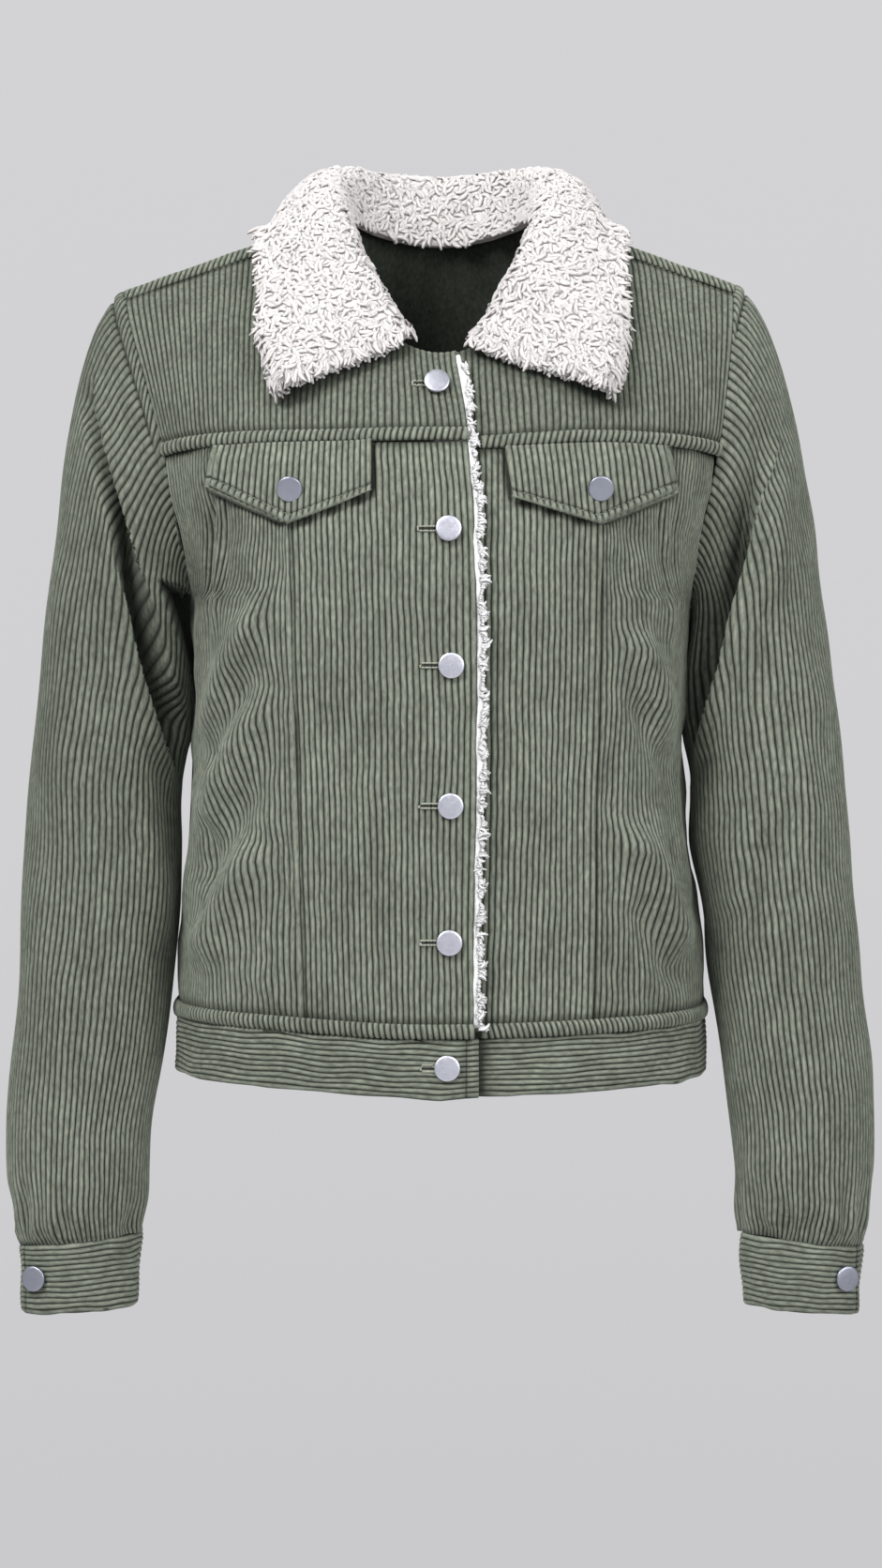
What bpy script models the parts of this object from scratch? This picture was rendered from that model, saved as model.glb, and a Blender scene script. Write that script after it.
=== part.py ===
"""A short corduroy jacket with a pile collar, in its worn form, as walls of cloth.

Metres, +Z up, the wearer faces -Y. "left" and "right" are as seen from the front, so left is -X. The origin is midway
between the two shoulder seams at the neck, where the wearer holds the jacket up. Tables give the outer face of the
cloth, and every wall is grown inwards from it.
"""

import math

import bpy
import numpy as np
from mathutils import Matrix, Vector
from mathutils.bvhtree import BVHTree

# ---------------------------------------------------------------- driving dimensions
CLOTH = 0.0020          # one layer of wide-wale corduroy
BAND_CLOTH = 0.0025     # hem band and cuffs, doubled cloth
PILE = 0.0070           # collar pile with its backing
FACING_PILE = 0.0027    # pile facing where the front edge presses it flat
LINING_CLOTH = 0.0016   # under collar
SEAM = 0.0004           # gap between pieces that are sewn together
SHOULDER_SEAM = 0.0014  # the same on the shoulder, where the walls turn towards each other
LAYER = 0.0005          # gap between pieces that lie on each other

FRONT, BACK = -1, 1     # sign of y on each face of the torso
SQUARENESS = 2.3        # 2 is an ellipse, more is squarer

# Torso levels from the hem up: height, x of the side seam or armhole, depth in front, depth behind.
TORSO = (
    (-0.545, 0.1645, 0.1210, 0.1130),
    (-0.500, 0.1625, 0.1210, 0.1120),
    (-0.440, 0.1595, 0.1240, 0.1060),
    (-0.380, 0.1550, 0.1260, 0.1020),
    (-0.320, 0.1523, 0.1290, 0.1030),
    (-0.262, 0.1525, 0.1310, 0.1090),
    (-0.247, 0.1535, 0.1305, 0.1110),
    (-0.231, 0.1550, 0.1290, 0.1130),
    (-0.203, 0.1585, 0.1250, 0.1160),
    (-0.184, 0.1630, 0.1210, 0.1170),
    (-0.150, 0.1690, 0.1100, 0.1160),
)
HEM_LEVEL = -0.4970         # lower edge of the body panels at the side seams
HEM_DIP = 0.0090            # how much lower it is at the centre of the front
YOKE_LEVEL = -0.1570        # lower edge of the yoke at the armholes
YOKE_RISE = 0.0080          # how much higher it is at the centre of the front
BAND_HEIGHT = 0.0365
BAND_END = 0.0217           # x of the hem band's upper end
ROLL_HEIGHT = 0.0080        # rolled seam above the hem band and along the yoke
ROLL_BULGE = 0.0024

ARMHOLE_BOTTOM = -0.2470
ARMHOLE_LEVEL = -0.1650     # where the armhole is deepest from front to back
ARMHOLE_DEPTH = {FRONT: 0.0570, BACK: 0.0540}

NECK_HALF = 0.0640          # half width of the neck opening at the shoulder seams
NECK_DROP = 0.0910          # neckline in front, below the shoulder seam's neck end
NECK_FRONT = -0.0760        # y of the neckline at the centre of the front
NAPE = (0.0600, -0.0150, 0.0040)    # y and z of the neckline at the centre of the back, and its rise beside it
SHOULDER_Y = -0.0080        # the shoulder seam lies just in front of the ridge
SHOULDER_NECK_Z = -0.0060
UNDERLAP = 0.0120           # how far the lower front reaches past the centre

# The upper front's edge: height, x.
FRONT_EDGE = ((-0.506, 0.0195), (-0.420, 0.0195), (-0.360, 0.0208), (-0.300, 0.0212), (-0.240, 0.0205),
              (-0.190, 0.0190), (-0.149, 0.0155), (-0.125, 0.0150), (-0.097, 0.0090))
LAP_LIFT = 0.0060           # how far the upper front stands off the lower one
LAP_START, LAP_FULL = -0.060, -0.016
LAP_WAY = np.array([0.0, -0.8, 0.6])    # the way it lifts the collar's corner
PILE_FRINGE = 0.0060        # pile that shows past the front edge
FACING_INNER = -0.004
FACING_TOP = -0.104

SHAPE = {
    "left": {"sign": -1, "shoulder": (0.1945, -0.0560), "princess": (0.0810, 0.0920), "tip": 1.00},
    "right": {"sign": 1, "shoulder": (0.1815, -0.0520), "princess": (0.0900, 0.0975), "tip": 1.05},
}

# Sleeve levels from the cuff up: height, x outside on the left and on the right sleeve, x inside, y in front, behind.
SLEEVE = (
    (-0.633, 0.2560, 0.2550, 0.1840, -0.0570, 0.0040),
    (-0.622, 0.2615, 0.2605, 0.1828, -0.0640, 0.0120),
    (-0.598, 0.2650, 0.2640, 0.1805, -0.0680, 0.0200),
    (-0.565, 0.2662, 0.2652, 0.1780, -0.0690, 0.0260),
    (-0.532, 0.2650, 0.2640, 0.1727, -0.0670, 0.0320),
    (-0.497, 0.2628, 0.2608, 0.1680, -0.0650, 0.0380),
    (-0.445, 0.2593, 0.2560, 0.1622, -0.0620, 0.0460),
    (-0.393, 0.2560, 0.2520, 0.1595, -0.0600, 0.0530),
    (-0.358, 0.2540, 0.2490, 0.1590, -0.0590, 0.0570),
    (-0.323, 0.2515, 0.2455, 0.1570, -0.0580, 0.0610),
    (-0.285, 0.2475, 0.2410, 0.1565, -0.0570, 0.0650),
)
SLEEVE_TILT = 0.0040        # how much lower the outer side of the sleeve ends
CUFF_HEIGHT = 0.0432
CUFF_TAPER = 0.955          # lower edge of the cuff over its upper edge
CUFF_END = math.radians(66)     # where the upper end of the cuff stops, from the front towards the outside
CUFF_UNDER = math.radians(25)   # where the lower end starts
CUFF_LIFT = 0.0032

# Half of the pile collar, from the centre of the back to the front corner: share of the way, the roll's x y z, the
# leaf edge's x y z, how far the leaf arches between them, and degrees round the neckline, where 90 is the shoulder
# seam. All are on the sheet between pile and under collar.
COLLAR = (
    (0.00, 0.0000, 0.0640, 0.0240, 0.0000, 0.1020, -0.0360, 0.0060, 0.0),
    (0.15, 0.0330, 0.0580, 0.0260, 0.0440, 0.0970, -0.0340, 0.0080, 28.0),
    (0.30, 0.0560, 0.0400, 0.0260, 0.0820, 0.0720, -0.0270, 0.0130, 52.0),
    (0.42, 0.0650, 0.0180, 0.0190, 0.1010, 0.0330, -0.0190, 0.0120, 69.0),
    (0.53, 0.0635, -0.0080, 0.0040, 0.1070, -0.0050, -0.0220, 0.0080, 92.0),
    (0.64, 0.0570, -0.0280, -0.0140, 0.1080, -0.0440, -0.0500, 0.0050, 106.0),
    (0.75, 0.0490, -0.0450, -0.0340, 0.1060, -0.0680, -0.0760, 0.0030, 121.0),
    (0.85, 0.0400, -0.0590, -0.0520, 0.1030, -0.0850, -0.0950, 0.0020, 135.0),
    (0.93, 0.0315, -0.0685, -0.0670, 0.1000, -0.0940, -0.1060, 0.0010, 147.0),
    (1.00, 0.0225, -0.0765, -0.0815, 0.0970, -0.1000, -0.1130, 0.0000, 157.0),
)
COLLAR_INSET = 0.0040       # it stands this far inside the neckline
COLLAR_RAISE = 0.0030       # and this far above it
COLLAR_REST = 0.0050        # its leaf lies this far off the cloth under it
COLLAR_LAYER = 0.0008       # gap between pile and under collar
COLLAR_ROUND = 0.0080       # how far the roll's rounding reaches on each side
LEAF_SHARES = (0.30, 0.46, 0.62, 0.80, 1.0)

# Pocket flaps: x at the top and x at the bottom of each end, x of the point, and their heights.
FLAPS = {
    "left": {"top": (0.1380, 0.0410), "bottom": (0.1420, 0.0418), "point": 0.0915},
    "right": {"top": (0.1400, 0.0400), "bottom": (0.1430, 0.0445), "point": 0.0985},
}
FLAP_TOP = -0.1535
FLAP_CORNER = -0.1800
FLAP_POINT = -0.2010
FLAP_LIFT = 0.0030

BUTTON_RADIUS = 0.0078
BUTTON_DEPTH = 0.0028
FRONT_BUTTONS = ((-0.0025, -0.1160), (0.0045, -0.2045), (0.0060, -0.2855), (0.0056, -0.3685), (0.0049, -0.4495),
                 (0.0036, -0.5240))
FLAP_BUTTONS = {"left": (-0.0900, -0.1795), "right": (0.0950, -0.1790)}

# Folds: which face of the cloth (-1 front, 1 back), depth (below 0 is a trough), half width, then x and z along it.
FOLDS = {
    "sleeve_left": (
        (FRONT, -0.0090, 0.0130, ((0.212, -0.140), (0.199, -0.200), (0.190, -0.242), (0.180, -0.280), (0.165, -0.340))),
        (BACK, -0.0070, 0.0140, ((0.220, -0.230), (0.200, -0.290), (0.176, -0.350))),
    ),
    "sleeve_right": (
        (FRONT, -0.0090, 0.0130, ((0.205, -0.140), (0.192, -0.200), (0.180, -0.250), (0.170, -0.290), (0.162, -0.340))),
        (BACK, -0.0070, 0.0140, ((0.214, -0.240), (0.196, -0.300), (0.174, -0.360))),
    ),
    "front_side_left": (
        (FRONT, 0.0030, 0.0110, ((0.104, -0.255), (0.130, -0.290), (0.148, -0.330))),
        (FRONT, 0.0035, 0.0120, ((0.102, -0.300), (0.128, -0.345), (0.149, -0.385))),
        (FRONT, 0.0030, 0.0120, ((0.108, -0.385), (0.132, -0.430), (0.152, -0.465))),
    ),
    "front_side_right": (
        (FRONT, 0.0035, 0.0120, ((0.112, -0.270), (0.130, -0.300), (0.146, -0.335))),
        (FRONT, 0.0030, 0.0120, ((0.112, -0.380), (0.132, -0.425), (0.152, -0.460))),
    ),
    "back": (
        (BACK, 0.0030, 0.0130, ((0.080, -0.300), (0.104, -0.345), (0.122, -0.380))),
        (BACK, 0.0030, 0.0130, ((-0.078, -0.290), (-0.100, -0.335), (-0.120, -0.375))),
    ),
}

# Fineness of the walls: faces along and across.
BODY_ROWS, YOKE_ROWS = 12, 6
CENTRE_COLUMNS, SIDE_COLUMNS = 6, 7
BACK_NECK_COLUMNS, HALF_BACK_COLUMNS = 5, 6
CAP_ROWS, ARM_ROWS, SLEEVE_COLUMNS = 9, 13, 24
BAND_COLUMNS, CUFF_COLUMNS = 46, 26
COLLAR_COLUMNS = 34
FACING_ROWS = 20
BUTTON_SIDES = 20

CORDUROY = ("corduroy", (0.155, 0.180, 0.140, 1.0), 0.90, 0.0)
PILE_CLOTH = ("pile", (0.830, 0.815, 0.790, 1.0), 0.95, 0.0)
METAL = ("satin_metal", (0.560, 0.575, 0.620, 1.0), 0.35, 1.0)


# ---------------------------------------------------------------- small helpers
def blend(a, b, share):
    return a + (b - a) * share


def ease(value, start, end):
    """0 before start, 1 after end, smooth between."""
    share = np.clip((value - start) / (end - start), 0.0, 1.0)
    return share * share * (3.0 - 2.0 * share)


def hermite(start, leaving, end, arriving, t):
    """A cubic from start to end with the given speeds at its ends."""
    return (start * (2 * t**3 - 3 * t**2 + 1) + leaving * (t**3 - 2 * t**2 + t)
            + end * (3 * t**2 - 2 * t**3) + arriving * (t**3 - t**2))


def column_curve(table, column):
    """A smooth function through one column of a table, over the table's first column."""
    knots = np.array([row[0] for row in table])
    values = np.array([row[column] for row in table])
    slopes = np.gradient(values, knots)

    def at(place):
        place = np.clip(place, knots[0], knots[-1])
        i = np.clip(np.searchsorted(knots, place) - 1, 0, len(knots) - 2)
        span = knots[i + 1] - knots[i]
        return hermite(values[i], slopes[i] * span, values[i + 1], slopes[i + 1] * span, (place - knots[i]) / span)

    return at


def normals_of(grid, closed=False):
    """Unit normals of a grid of points, rows upwards and columns to the right as seen from outside."""
    if closed:
        across = np.roll(grid, -1, axis=1) - np.roll(grid, 1, axis=1)
    else:
        across = np.gradient(grid, axis=1)
    up = np.gradient(grid, axis=0)
    normal = np.cross(across, up)
    return normal / np.maximum(np.linalg.norm(normal, axis=2, keepdims=True), 1e-12)


def distance_to_path(x, z, path):
    """Distance in the XZ plane to a path of points, and the share of the path at the nearest place."""
    points = np.array(path)
    lengths = np.concatenate([[0.0], np.cumsum(np.hypot(*np.diff(points, axis=0).T))])
    nearest = np.full(x.shape, np.inf)
    share = np.zeros(x.shape)
    for i in range(len(points) - 1):
        run = points[i + 1] - points[i]
        t = np.clip(((x - points[i, 0]) * run[0] + (z - points[i, 1]) * run[1]) / run.dot(run), 0.0, 1.0)
        far = np.hypot(x - points[i, 0] - t * run[0], z - points[i, 1] - t * run[1])
        closer = far < nearest
        nearest = np.where(closer, far, nearest)
        share = np.where(closer, (lengths[i] + t * (lengths[i + 1] - lengths[i])) / lengths[-1], share)
    return nearest, share


def folded(grid, name, sign, closed=False):
    """The grid with its folds pressed in. Fold paths are given with x growing away from the centre line."""
    normal = normals_of(grid, closed)
    shift = np.zeros(grid.shape[:2])
    place = np.linspace(0.0, 1.0, grid.shape[1])
    held = 1.0 if closed else ease(place, 0.0, 0.25) * (1.0 - ease(place, 0.75, 1.0))
    for face, depth, half_width, path in FOLDS.get(name, ()):
        far, share = distance_to_path(grid[:, :, 0] * sign, grid[:, :, 2], path)
        fade = ease(share, 0.0, 0.25) * (1.0 - ease(share, 0.80, 1.0))
        facing = ease(normal[:, :, 1] * face, 0.15, 0.60)
        shift += depth * np.exp(-(far / half_width) ** 2) * fade * facing * held
    return grid + normal * shift[:, :, None]


# ---------------------------------------------------------------- the torso's form
half_width_at = column_curve(TORSO, 1)
depth_at = {FRONT: column_curve(TORSO, 2), BACK: column_curve(TORSO, 3)}
front_edge_at = column_curve(FRONT_EDGE, 1)


def armhole_depth(z, face):
    """How far the armhole's edge lies in front of, or behind, the side seam's line."""
    below = np.clip((ARMHOLE_LEVEL - z) / (ARMHOLE_LEVEL - ARMHOLE_BOTTOM), 0.0, 1.0)
    return ARMHOLE_DEPTH[face] * math.sqrt(1.0 - below**2)


def half_section(z, face):
    """A level of the torso from the centre line to the side seam or armhole: length along it, x and y."""
    depth = depth_at[face](z)
    edge = armhole_depth(z, face) / depth
    width = half_width_at(z) / (1.0 - edge**SQUARENESS) ** (1.0 / SQUARENESS)
    turn = np.linspace(0.0, math.acos(edge ** (SQUARENESS / 2.0)), 160)
    x = width * np.sin(turn) ** (2.0 / SQUARENESS)
    y = face * depth * np.maximum(np.cos(turn), 0.0) ** (2.0 / SQUARENESS)
    along = np.concatenate([[0.0], np.cumsum(np.hypot(np.diff(x), np.diff(y)))])
    return along, x, y


def girth(z, face):
    return half_section(z, face)[0][-1]


def length_at(z, x):
    """Length along the front from the centre line to a given x."""
    along, xs, _ = half_section(z, FRONT)
    return float(np.interp(x, xs, along))


def level_points(z, face, sign, along):
    """Points of one level at given lengths from the centre line, which are below 0 past it."""
    lengths, xs, ys = half_section(z, face)
    reach = np.abs(along)
    x = np.interp(reach, lengths, xs) * np.sign(along) * sign
    return np.stack([x, np.interp(reach, lengths, ys), np.full(len(along), z)], axis=1)


def lower_part(face, sign, start, end, shares, heights):
    """Rows of the torso between the hem and the yoke. start and end give lengths from the centre line at a height."""
    rows = []
    for v in heights:
        z = blend(HEM_LEVEL, YOKE_LEVEL, v)
        along = blend(start(z), end(z), shares)
        points = level_points(z, face, sign, along)
        rise = blend(-HEM_DIP, YOKE_RISE, v) if face == FRONT else 0.0
        points[:, 2] += rise * (1.0 - (along / girth(z, face)) ** 2)
        rows.append(points)
    return np.array(rows)


def top_line(face, side, x):
    """The neckline and shoulder seam at distances x from the centre line, and how far from the neck's end each is."""
    shoulder_x, shoulder_z = SHAPE[side]["shoulder"]
    reach = np.abs(x)
    inside = np.sqrt(1.0 - np.clip(reach / NECK_HALF, 0.0, 1.0) ** 2)
    outside = np.clip((reach - NECK_HALF) / (shoulder_x - NECK_HALF), 0.0, 1.0)
    if face == FRONT:
        y = blend(SHOULDER_Y, NECK_FRONT, inside)
        z = SHOULDER_NECK_Z - NECK_DROP * inside**1.25
    else:
        y = blend(SHOULDER_Y, NAPE[0], inside)
        z = blend(SHOULDER_NECK_Z, NAPE[1], inside**2) + NAPE[2] * inside * (1.0 - inside)
    z = z + (shoulder_z - SHOULDER_NECK_Z) * outside
    y = y + face * SHOULDER_SEAM / 2.0
    return np.stack([x * SHAPE[side]["sign"], y, z], axis=1), inside


def upper_part(face, side, along, heights):
    """Columns from the yoke's lower edge up to the neckline and shoulder seam."""
    sign = SHAPE[side]["sign"]
    z = YOKE_LEVEL
    whole = girth(z, face)
    foot = level_points(z, face, sign, along)
    below = level_points(z - 0.008, face, sign, along)
    rise = (YOKE_RISE if face == FRONT else 0.0) * (1.0 - (along / whole) ** 2)
    leaving = foot - below
    leaving /= np.linalg.norm(leaving, axis=1, keepdims=True)
    foot[:, 2] += rise
    head, inside = top_line(face, side, along * SHAPE[side]["shoulder"][0] / whole)
    neck_way = {FRONT: (0.0, 0.55, 0.84), BACK: (0.0, -0.40, 0.92)}[face]
    shoulder_way = {FRONT: (0.0, 0.80, 0.60), BACK: (0.0, -0.94, -0.34)}[face]
    shoulder_speed = {FRONT: 0.90, BACK: 0.50}[face]
    share = inside[:, None]
    arriving = blend(np.array(shoulder_way) * shoulder_speed, np.array(neck_way) * 0.8, share)
    span = np.linalg.norm(head - foot, axis=1, keepdims=True)
    return np.array([hermite(foot, leaving * span * 0.9, head, arriving * span, t) for t in heights])


def lap_lift(x):
    """How far the upper (left) front stands off the form at a given x."""
    return LAP_LIFT * ease(x, LAP_START, LAP_FULL)


def roll(height_above_edge):
    """Bulge of a rolled seam, over the height above its lower edge."""
    share = np.clip(height_above_edge / ROLL_HEIGHT, 0.0, 1.0)
    return ROLL_BULGE * np.sin(math.pi * share) ** 0.6


def front_start(side):
    """Length at which a front begins, past the centre line."""
    if side == "left":
        return lambda z: -float(front_edge_at(z))
    return lambda z: -UNDERLAP


def princess_length(side, z):
    """Length from the centre line to the seam between centre and side panel."""
    bottom, top = SHAPE[side]["princess"]
    return length_at(z, blend(bottom, top, (z - HEM_LEVEL) / (YOKE_LEVEL - HEM_LEVEL)))


def roll_cover(side, x):
    """Rolled seams are pressed flat where the lower front lies under the upper one."""
    return ease(x, 0.028, 0.040) if side == "right" else np.ones_like(x)


def finish_front(grid, name, side, edge_heights):
    """Folds, rolled lower seam and lap of a front piece. edge_heights are heights above its lower edge."""
    if side == "left":
        grid, edge_heights = grid[:, ::-1], edge_heights[:, ::-1]
    grid = folded(grid, name, SHAPE[side]["sign"])
    shift = roll(edge_heights) * roll_cover(side, grid[:, :, 0])
    if side == "left":
        shift = shift + lap_lift(grid[:, :, 0])
    return grid + normals_of(grid) * shift[:, :, None]


# ---------------------------------------------------------------- making objects
def material(spec):
    name, colour, roughness, metallic = spec
    made = bpy.data.materials.get(name)
    if made is None:
        made = bpy.data.materials.new(name)
        made.use_nodes = True
        shader = made.node_tree.nodes["Principled BSDF"]
        shader.inputs["Base Color"].default_value = colour
        shader.inputs["Roughness"].default_value = roughness
        shader.inputs["Metallic"].default_value = metallic
    return made


def add_object(name, mesh, spec):
    mesh.materials.append(material(spec))
    piece = bpy.data.objects.new(name, mesh)
    bpy.data.collections["corduroy_jacket"].objects.link(piece)
    return piece


def add_wall(name, grid, thickness, spec=CORDUROY, closed=False, outward=False, flip=False, even=True):
    """A wall of cloth on a grid of points, rows upwards and columns to the right as seen from outside."""
    rows, columns = grid.shape[:2]
    if flip:
        grid = grid[:, ::-1]
    faces = []
    for r in range(rows - 1):
        for c in range(columns if closed else columns - 1):
            right = (c + 1) % columns
            faces.append((r * columns + c, r * columns + right, (r + 1) * columns + right, (r + 1) * columns + c))
    mesh = bpy.data.meshes.new(name)
    mesh.from_pydata([tuple(point) for point in grid.reshape(-1, 3).tolist()], [], faces)
    piece = add_object(name, mesh, spec)
    solidify = piece.modifiers.new("cloth", "SOLIDIFY")
    solidify.thickness = thickness
    solidify.offset = 1.0 if outward else -1.0
    solidify.use_even_offset = even
    return piece


# ---------------------------------------------------------------- body pieces
def spread(start, end, faces):
    return np.linspace(start, end, faces + 1)


def body_heights():
    """Shares of the height from hem to yoke, closer together at the rolled seam."""
    return np.concatenate([[0.0, 0.012, 0.024], spread(0.06, 1.0, BODY_ROWS)])


def under_neck(start, faces):
    """Lengths along the yoke's lower edge under the neckline, closer together towards the neck's end."""
    return NECK_HALF * np.sin(np.linspace(math.asin(start / NECK_HALF), math.pi / 2.0, faces + 1))


def make_front_panels(side):
    """Centre and side panel, from the hem band to the yoke."""
    sign = SHAPE[side]["sign"]
    heights = body_heights()
    heights[-1] -= SEAM / (YOKE_LEVEL - HEM_LEVEL)
    above = (heights * (YOKE_LEVEL - HEM_LEVEL))[:, None] * np.ones(CENTRE_COLUMNS + 1)
    name = f"front_centre_{side}"
    grid = lower_part(FRONT, sign, front_start(side), lambda z: princess_length(side, z) - SEAM / 2.0,
                      spread(0.0, 1.0, CENTRE_COLUMNS), heights)
    add_wall(name, finish_front(grid, name, side, above), CLOTH)
    name = f"front_side_{side}"
    above = above[:, :1] * np.ones(SIDE_COLUMNS + 1)
    grid = lower_part(FRONT, sign, lambda z: princess_length(side, z) + SEAM / 2.0,
                      lambda z: girth(z, FRONT) - SEAM / 2.0, spread(0.0, 1.0, SIDE_COLUMNS), heights)
    add_wall(name, finish_front(grid, name, side, above), CLOTH)


def make_front_yoke(side):
    """The yoke, from its rolled lower seam to the neckline and shoulder seam."""
    whole = girth(YOKE_LEVEL, FRONT)
    fan = whole / SHAPE[side]["shoulder"][0]
    start = front_start(side)(YOKE_LEVEL) / fan
    along = np.concatenate([under_neck(start, CENTRE_COLUMNS) * fan,
                            spread(NECK_HALF * fan, whole - SEAM / 2.0, SIDE_COLUMNS)[1:]])
    heights = np.concatenate([[0.0, 0.04, 0.08], spread(0.16, 0.90, YOKE_ROWS - 2), [0.95, 1.0]])
    grid = upper_part(FRONT, side, along, heights)
    above = grid[:, :, 2] - grid[:1, :, 2]
    add_wall(f"front_yoke_{side}", finish_front(grid, "front_yoke", side, above), CLOTH, even=False)


def make_back():
    """One plain piece from the hem band to the neckline and the shoulder seams."""
    heights = body_heights()
    halves = []
    for side in ("left", "right"):
        sign = SHAPE[side]["sign"]
        whole = girth(YOKE_LEVEL, BACK)
        shoulder = SHAPE[side]["shoulder"][0]
        shares = np.concatenate([under_neck(0.0, BACK_NECK_COLUMNS) / shoulder,
                                 spread(NECK_HALF / shoulder, 1.0 - SEAM / 2.0 / whole, HALF_BACK_COLUMNS)[1:]])
        low = lower_part(BACK, sign, lambda z: 0.0, lambda z: girth(z, BACK), shares, heights)
        high = upper_part(BACK, side, shares * whole, np.concatenate([spread(0.0, 0.86, YOKE_ROWS)[1:], [0.93, 1.0]]))
        halves.append(np.concatenate([low, high]))
    grid = np.concatenate([halves[1][:, ::-1], halves[0][:, 1:]], axis=1)
    grid = folded(grid, "back", 1)
    above = np.concatenate([heights * (YOKE_LEVEL - HEM_LEVEL), np.ones(len(high))])[:, None]
    grid = grid + normals_of(grid) * roll(above)[:, :, None]
    return add_wall("back", grid, CLOTH, even=False)


def band_line(z_shift):
    """One level of the hem band, from its lower end round the right, back and left sides to its upper end."""
    z = HEM_LEVEL - SEAM - z_shift
    front, back = girth(z, FRONT), girth(z, BACK)
    stations = spread(-UNDERLAP, 2.0 * (front + back) + BAND_END, BAND_COLUMNS)
    points = []
    for place in stations:
        if place <= front:
            face, sign, along = FRONT, 1, place
        elif place <= front + 2.0 * back:
            offset = place - front - back
            face, sign, along = BACK, -1 if offset > 0.0 else 1, abs(offset)
        else:
            face, sign, along = FRONT, -1, 2.0 * (front + back) - place
        point = level_points(z, face, sign, np.array([along]))[0]
        if face == FRONT:
            point[2] -= HEM_DIP * (1.0 - (along / front) ** 2)
        lift = LAP_LIFT * 0.85 * ease(place, 2.0 * (front + back) + LAP_START, 2.0 * (front + back) + LAP_FULL)
        outward = np.array([point[0], point[1], 0.0]) / math.hypot(point[0], point[1])
        points.append(point + outward * lift)
    return np.array(points)


def make_hem_band():
    grid = np.array([band_line(shift) for shift in (BAND_HEIGHT, BAND_HEIGHT * 0.5, 0.0)])
    return add_wall("hem_band", grid, BAND_CLOTH)


def make_front_facing():
    """Pile facing between the two fronts, which shows past the upper front's edge."""
    rows = []
    bottom = HEM_LEVEL - HEM_DIP + ROLL_HEIGHT * 0.2
    for z in spread(bottom, FACING_TOP, FACING_ROWS):
        edge = float(front_edge_at(z)) + PILE_FRINGE
        rows.append([front_point(x, z) for x in (edge, blend(edge, FACING_INNER, 0.5), FACING_INNER)])
    grid = np.array(rows)
    grid = grid + normals_of(grid[:, ::-1])[:, ::-1] * (LAYER * 1.5 + FACING_PILE)
    return add_wall("front_facing", grid, FACING_PILE, PILE_CLOTH, flip=True)


def front_point(x, z):
    """A point of the front's form at a given x and height, below or above the yoke's lower edge."""
    side = "left" if x < 0.0 else "right"
    sign = SHAPE[side]["sign"]
    low, high = HEM_LEVEL - HEM_DIP, YOKE_LEVEL + YOKE_RISE
    if z <= high:
        level = blend(HEM_LEVEL, YOKE_LEVEL, (z - low) / (high - low))
        along = length_at(level, abs(x))
        y = level_points(level, FRONT, sign, np.array([along]))[0][1]
        return np.array([x, y, z])
    along = abs(x) * girth(YOKE_LEVEL, FRONT) / SHAPE[side]["shoulder"][0]
    column = upper_part(FRONT, side, np.array([along]), np.linspace(0.0, 1.0, 60))[:, 0]
    return np.array([x, np.interp(z, column[:, 2], column[:, 1]), z])


# ---------------------------------------------------------------- sleeves and cuffs
def armhole_loop(side):
    """The armhole from the shoulder seam down the front and up the back, evenly spaced on each."""
    sign = SHAPE[side]["sign"]
    halves = []
    for face in (FRONT, BACK):
        whole = girth(YOKE_LEVEL, face)
        high = upper_part(face, side, np.array([whole]), np.linspace(1.0, 0.0, 30))[:, 0]
        levels = np.linspace(YOKE_LEVEL, ARMHOLE_BOTTOM, 40)[1:]
        low = np.array([level_points(z, face, sign, np.array([girth(z, face)]))[0] for z in levels])
        line = np.concatenate([high, low])
        along = np.concatenate([[0.0], np.cumsum(np.linalg.norm(np.diff(line, axis=0), axis=1))])
        even = np.linspace(0.0, along[-1], SLEEVE_COLUMNS // 2 + 1)
        halves.append(np.stack([np.interp(even, along, line[:, i]) for i in range(3)], axis=1))
    return np.concatenate([halves[0], halves[1][-2:0:-1]])


def sleeve_ring(side, z, size=1.0):
    """A level of the sleeve, starting outside and going round by the front."""
    sign = SHAPE[side]["sign"]
    outer = float(column_curve(SLEEVE, 1 if side == "left" else 2)(z))
    inner, front, back = (float(column_curve(SLEEVE, i)(z)) for i in (3, 4, 5))
    turn = np.linspace(0.0, 2.0 * math.pi, SLEEVE_COLUMNS, endpoint=False)
    return ring_points(sign, outer, inner, front, back, z, turn, size)


def ring_points(sign, outer, inner, front, back, z, turn, size=1.0):
    centre_x, half_x = (outer + inner) / 2.0, (outer - inner) / 2.0 * size
    centre_y, half_y = (front + back) / 2.0, (back - front) / 2.0 * size
    low = (SLEEVE[-1][0] - z) / (SLEEVE[-1][0] - SLEEVE[0][0])
    x = centre_x + half_x * np.cos(turn)
    y = centre_y - half_y * np.sin(turn)
    return np.stack([x * sign, y, z - SLEEVE_TILT * low * np.cos(turn)], axis=1)


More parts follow.
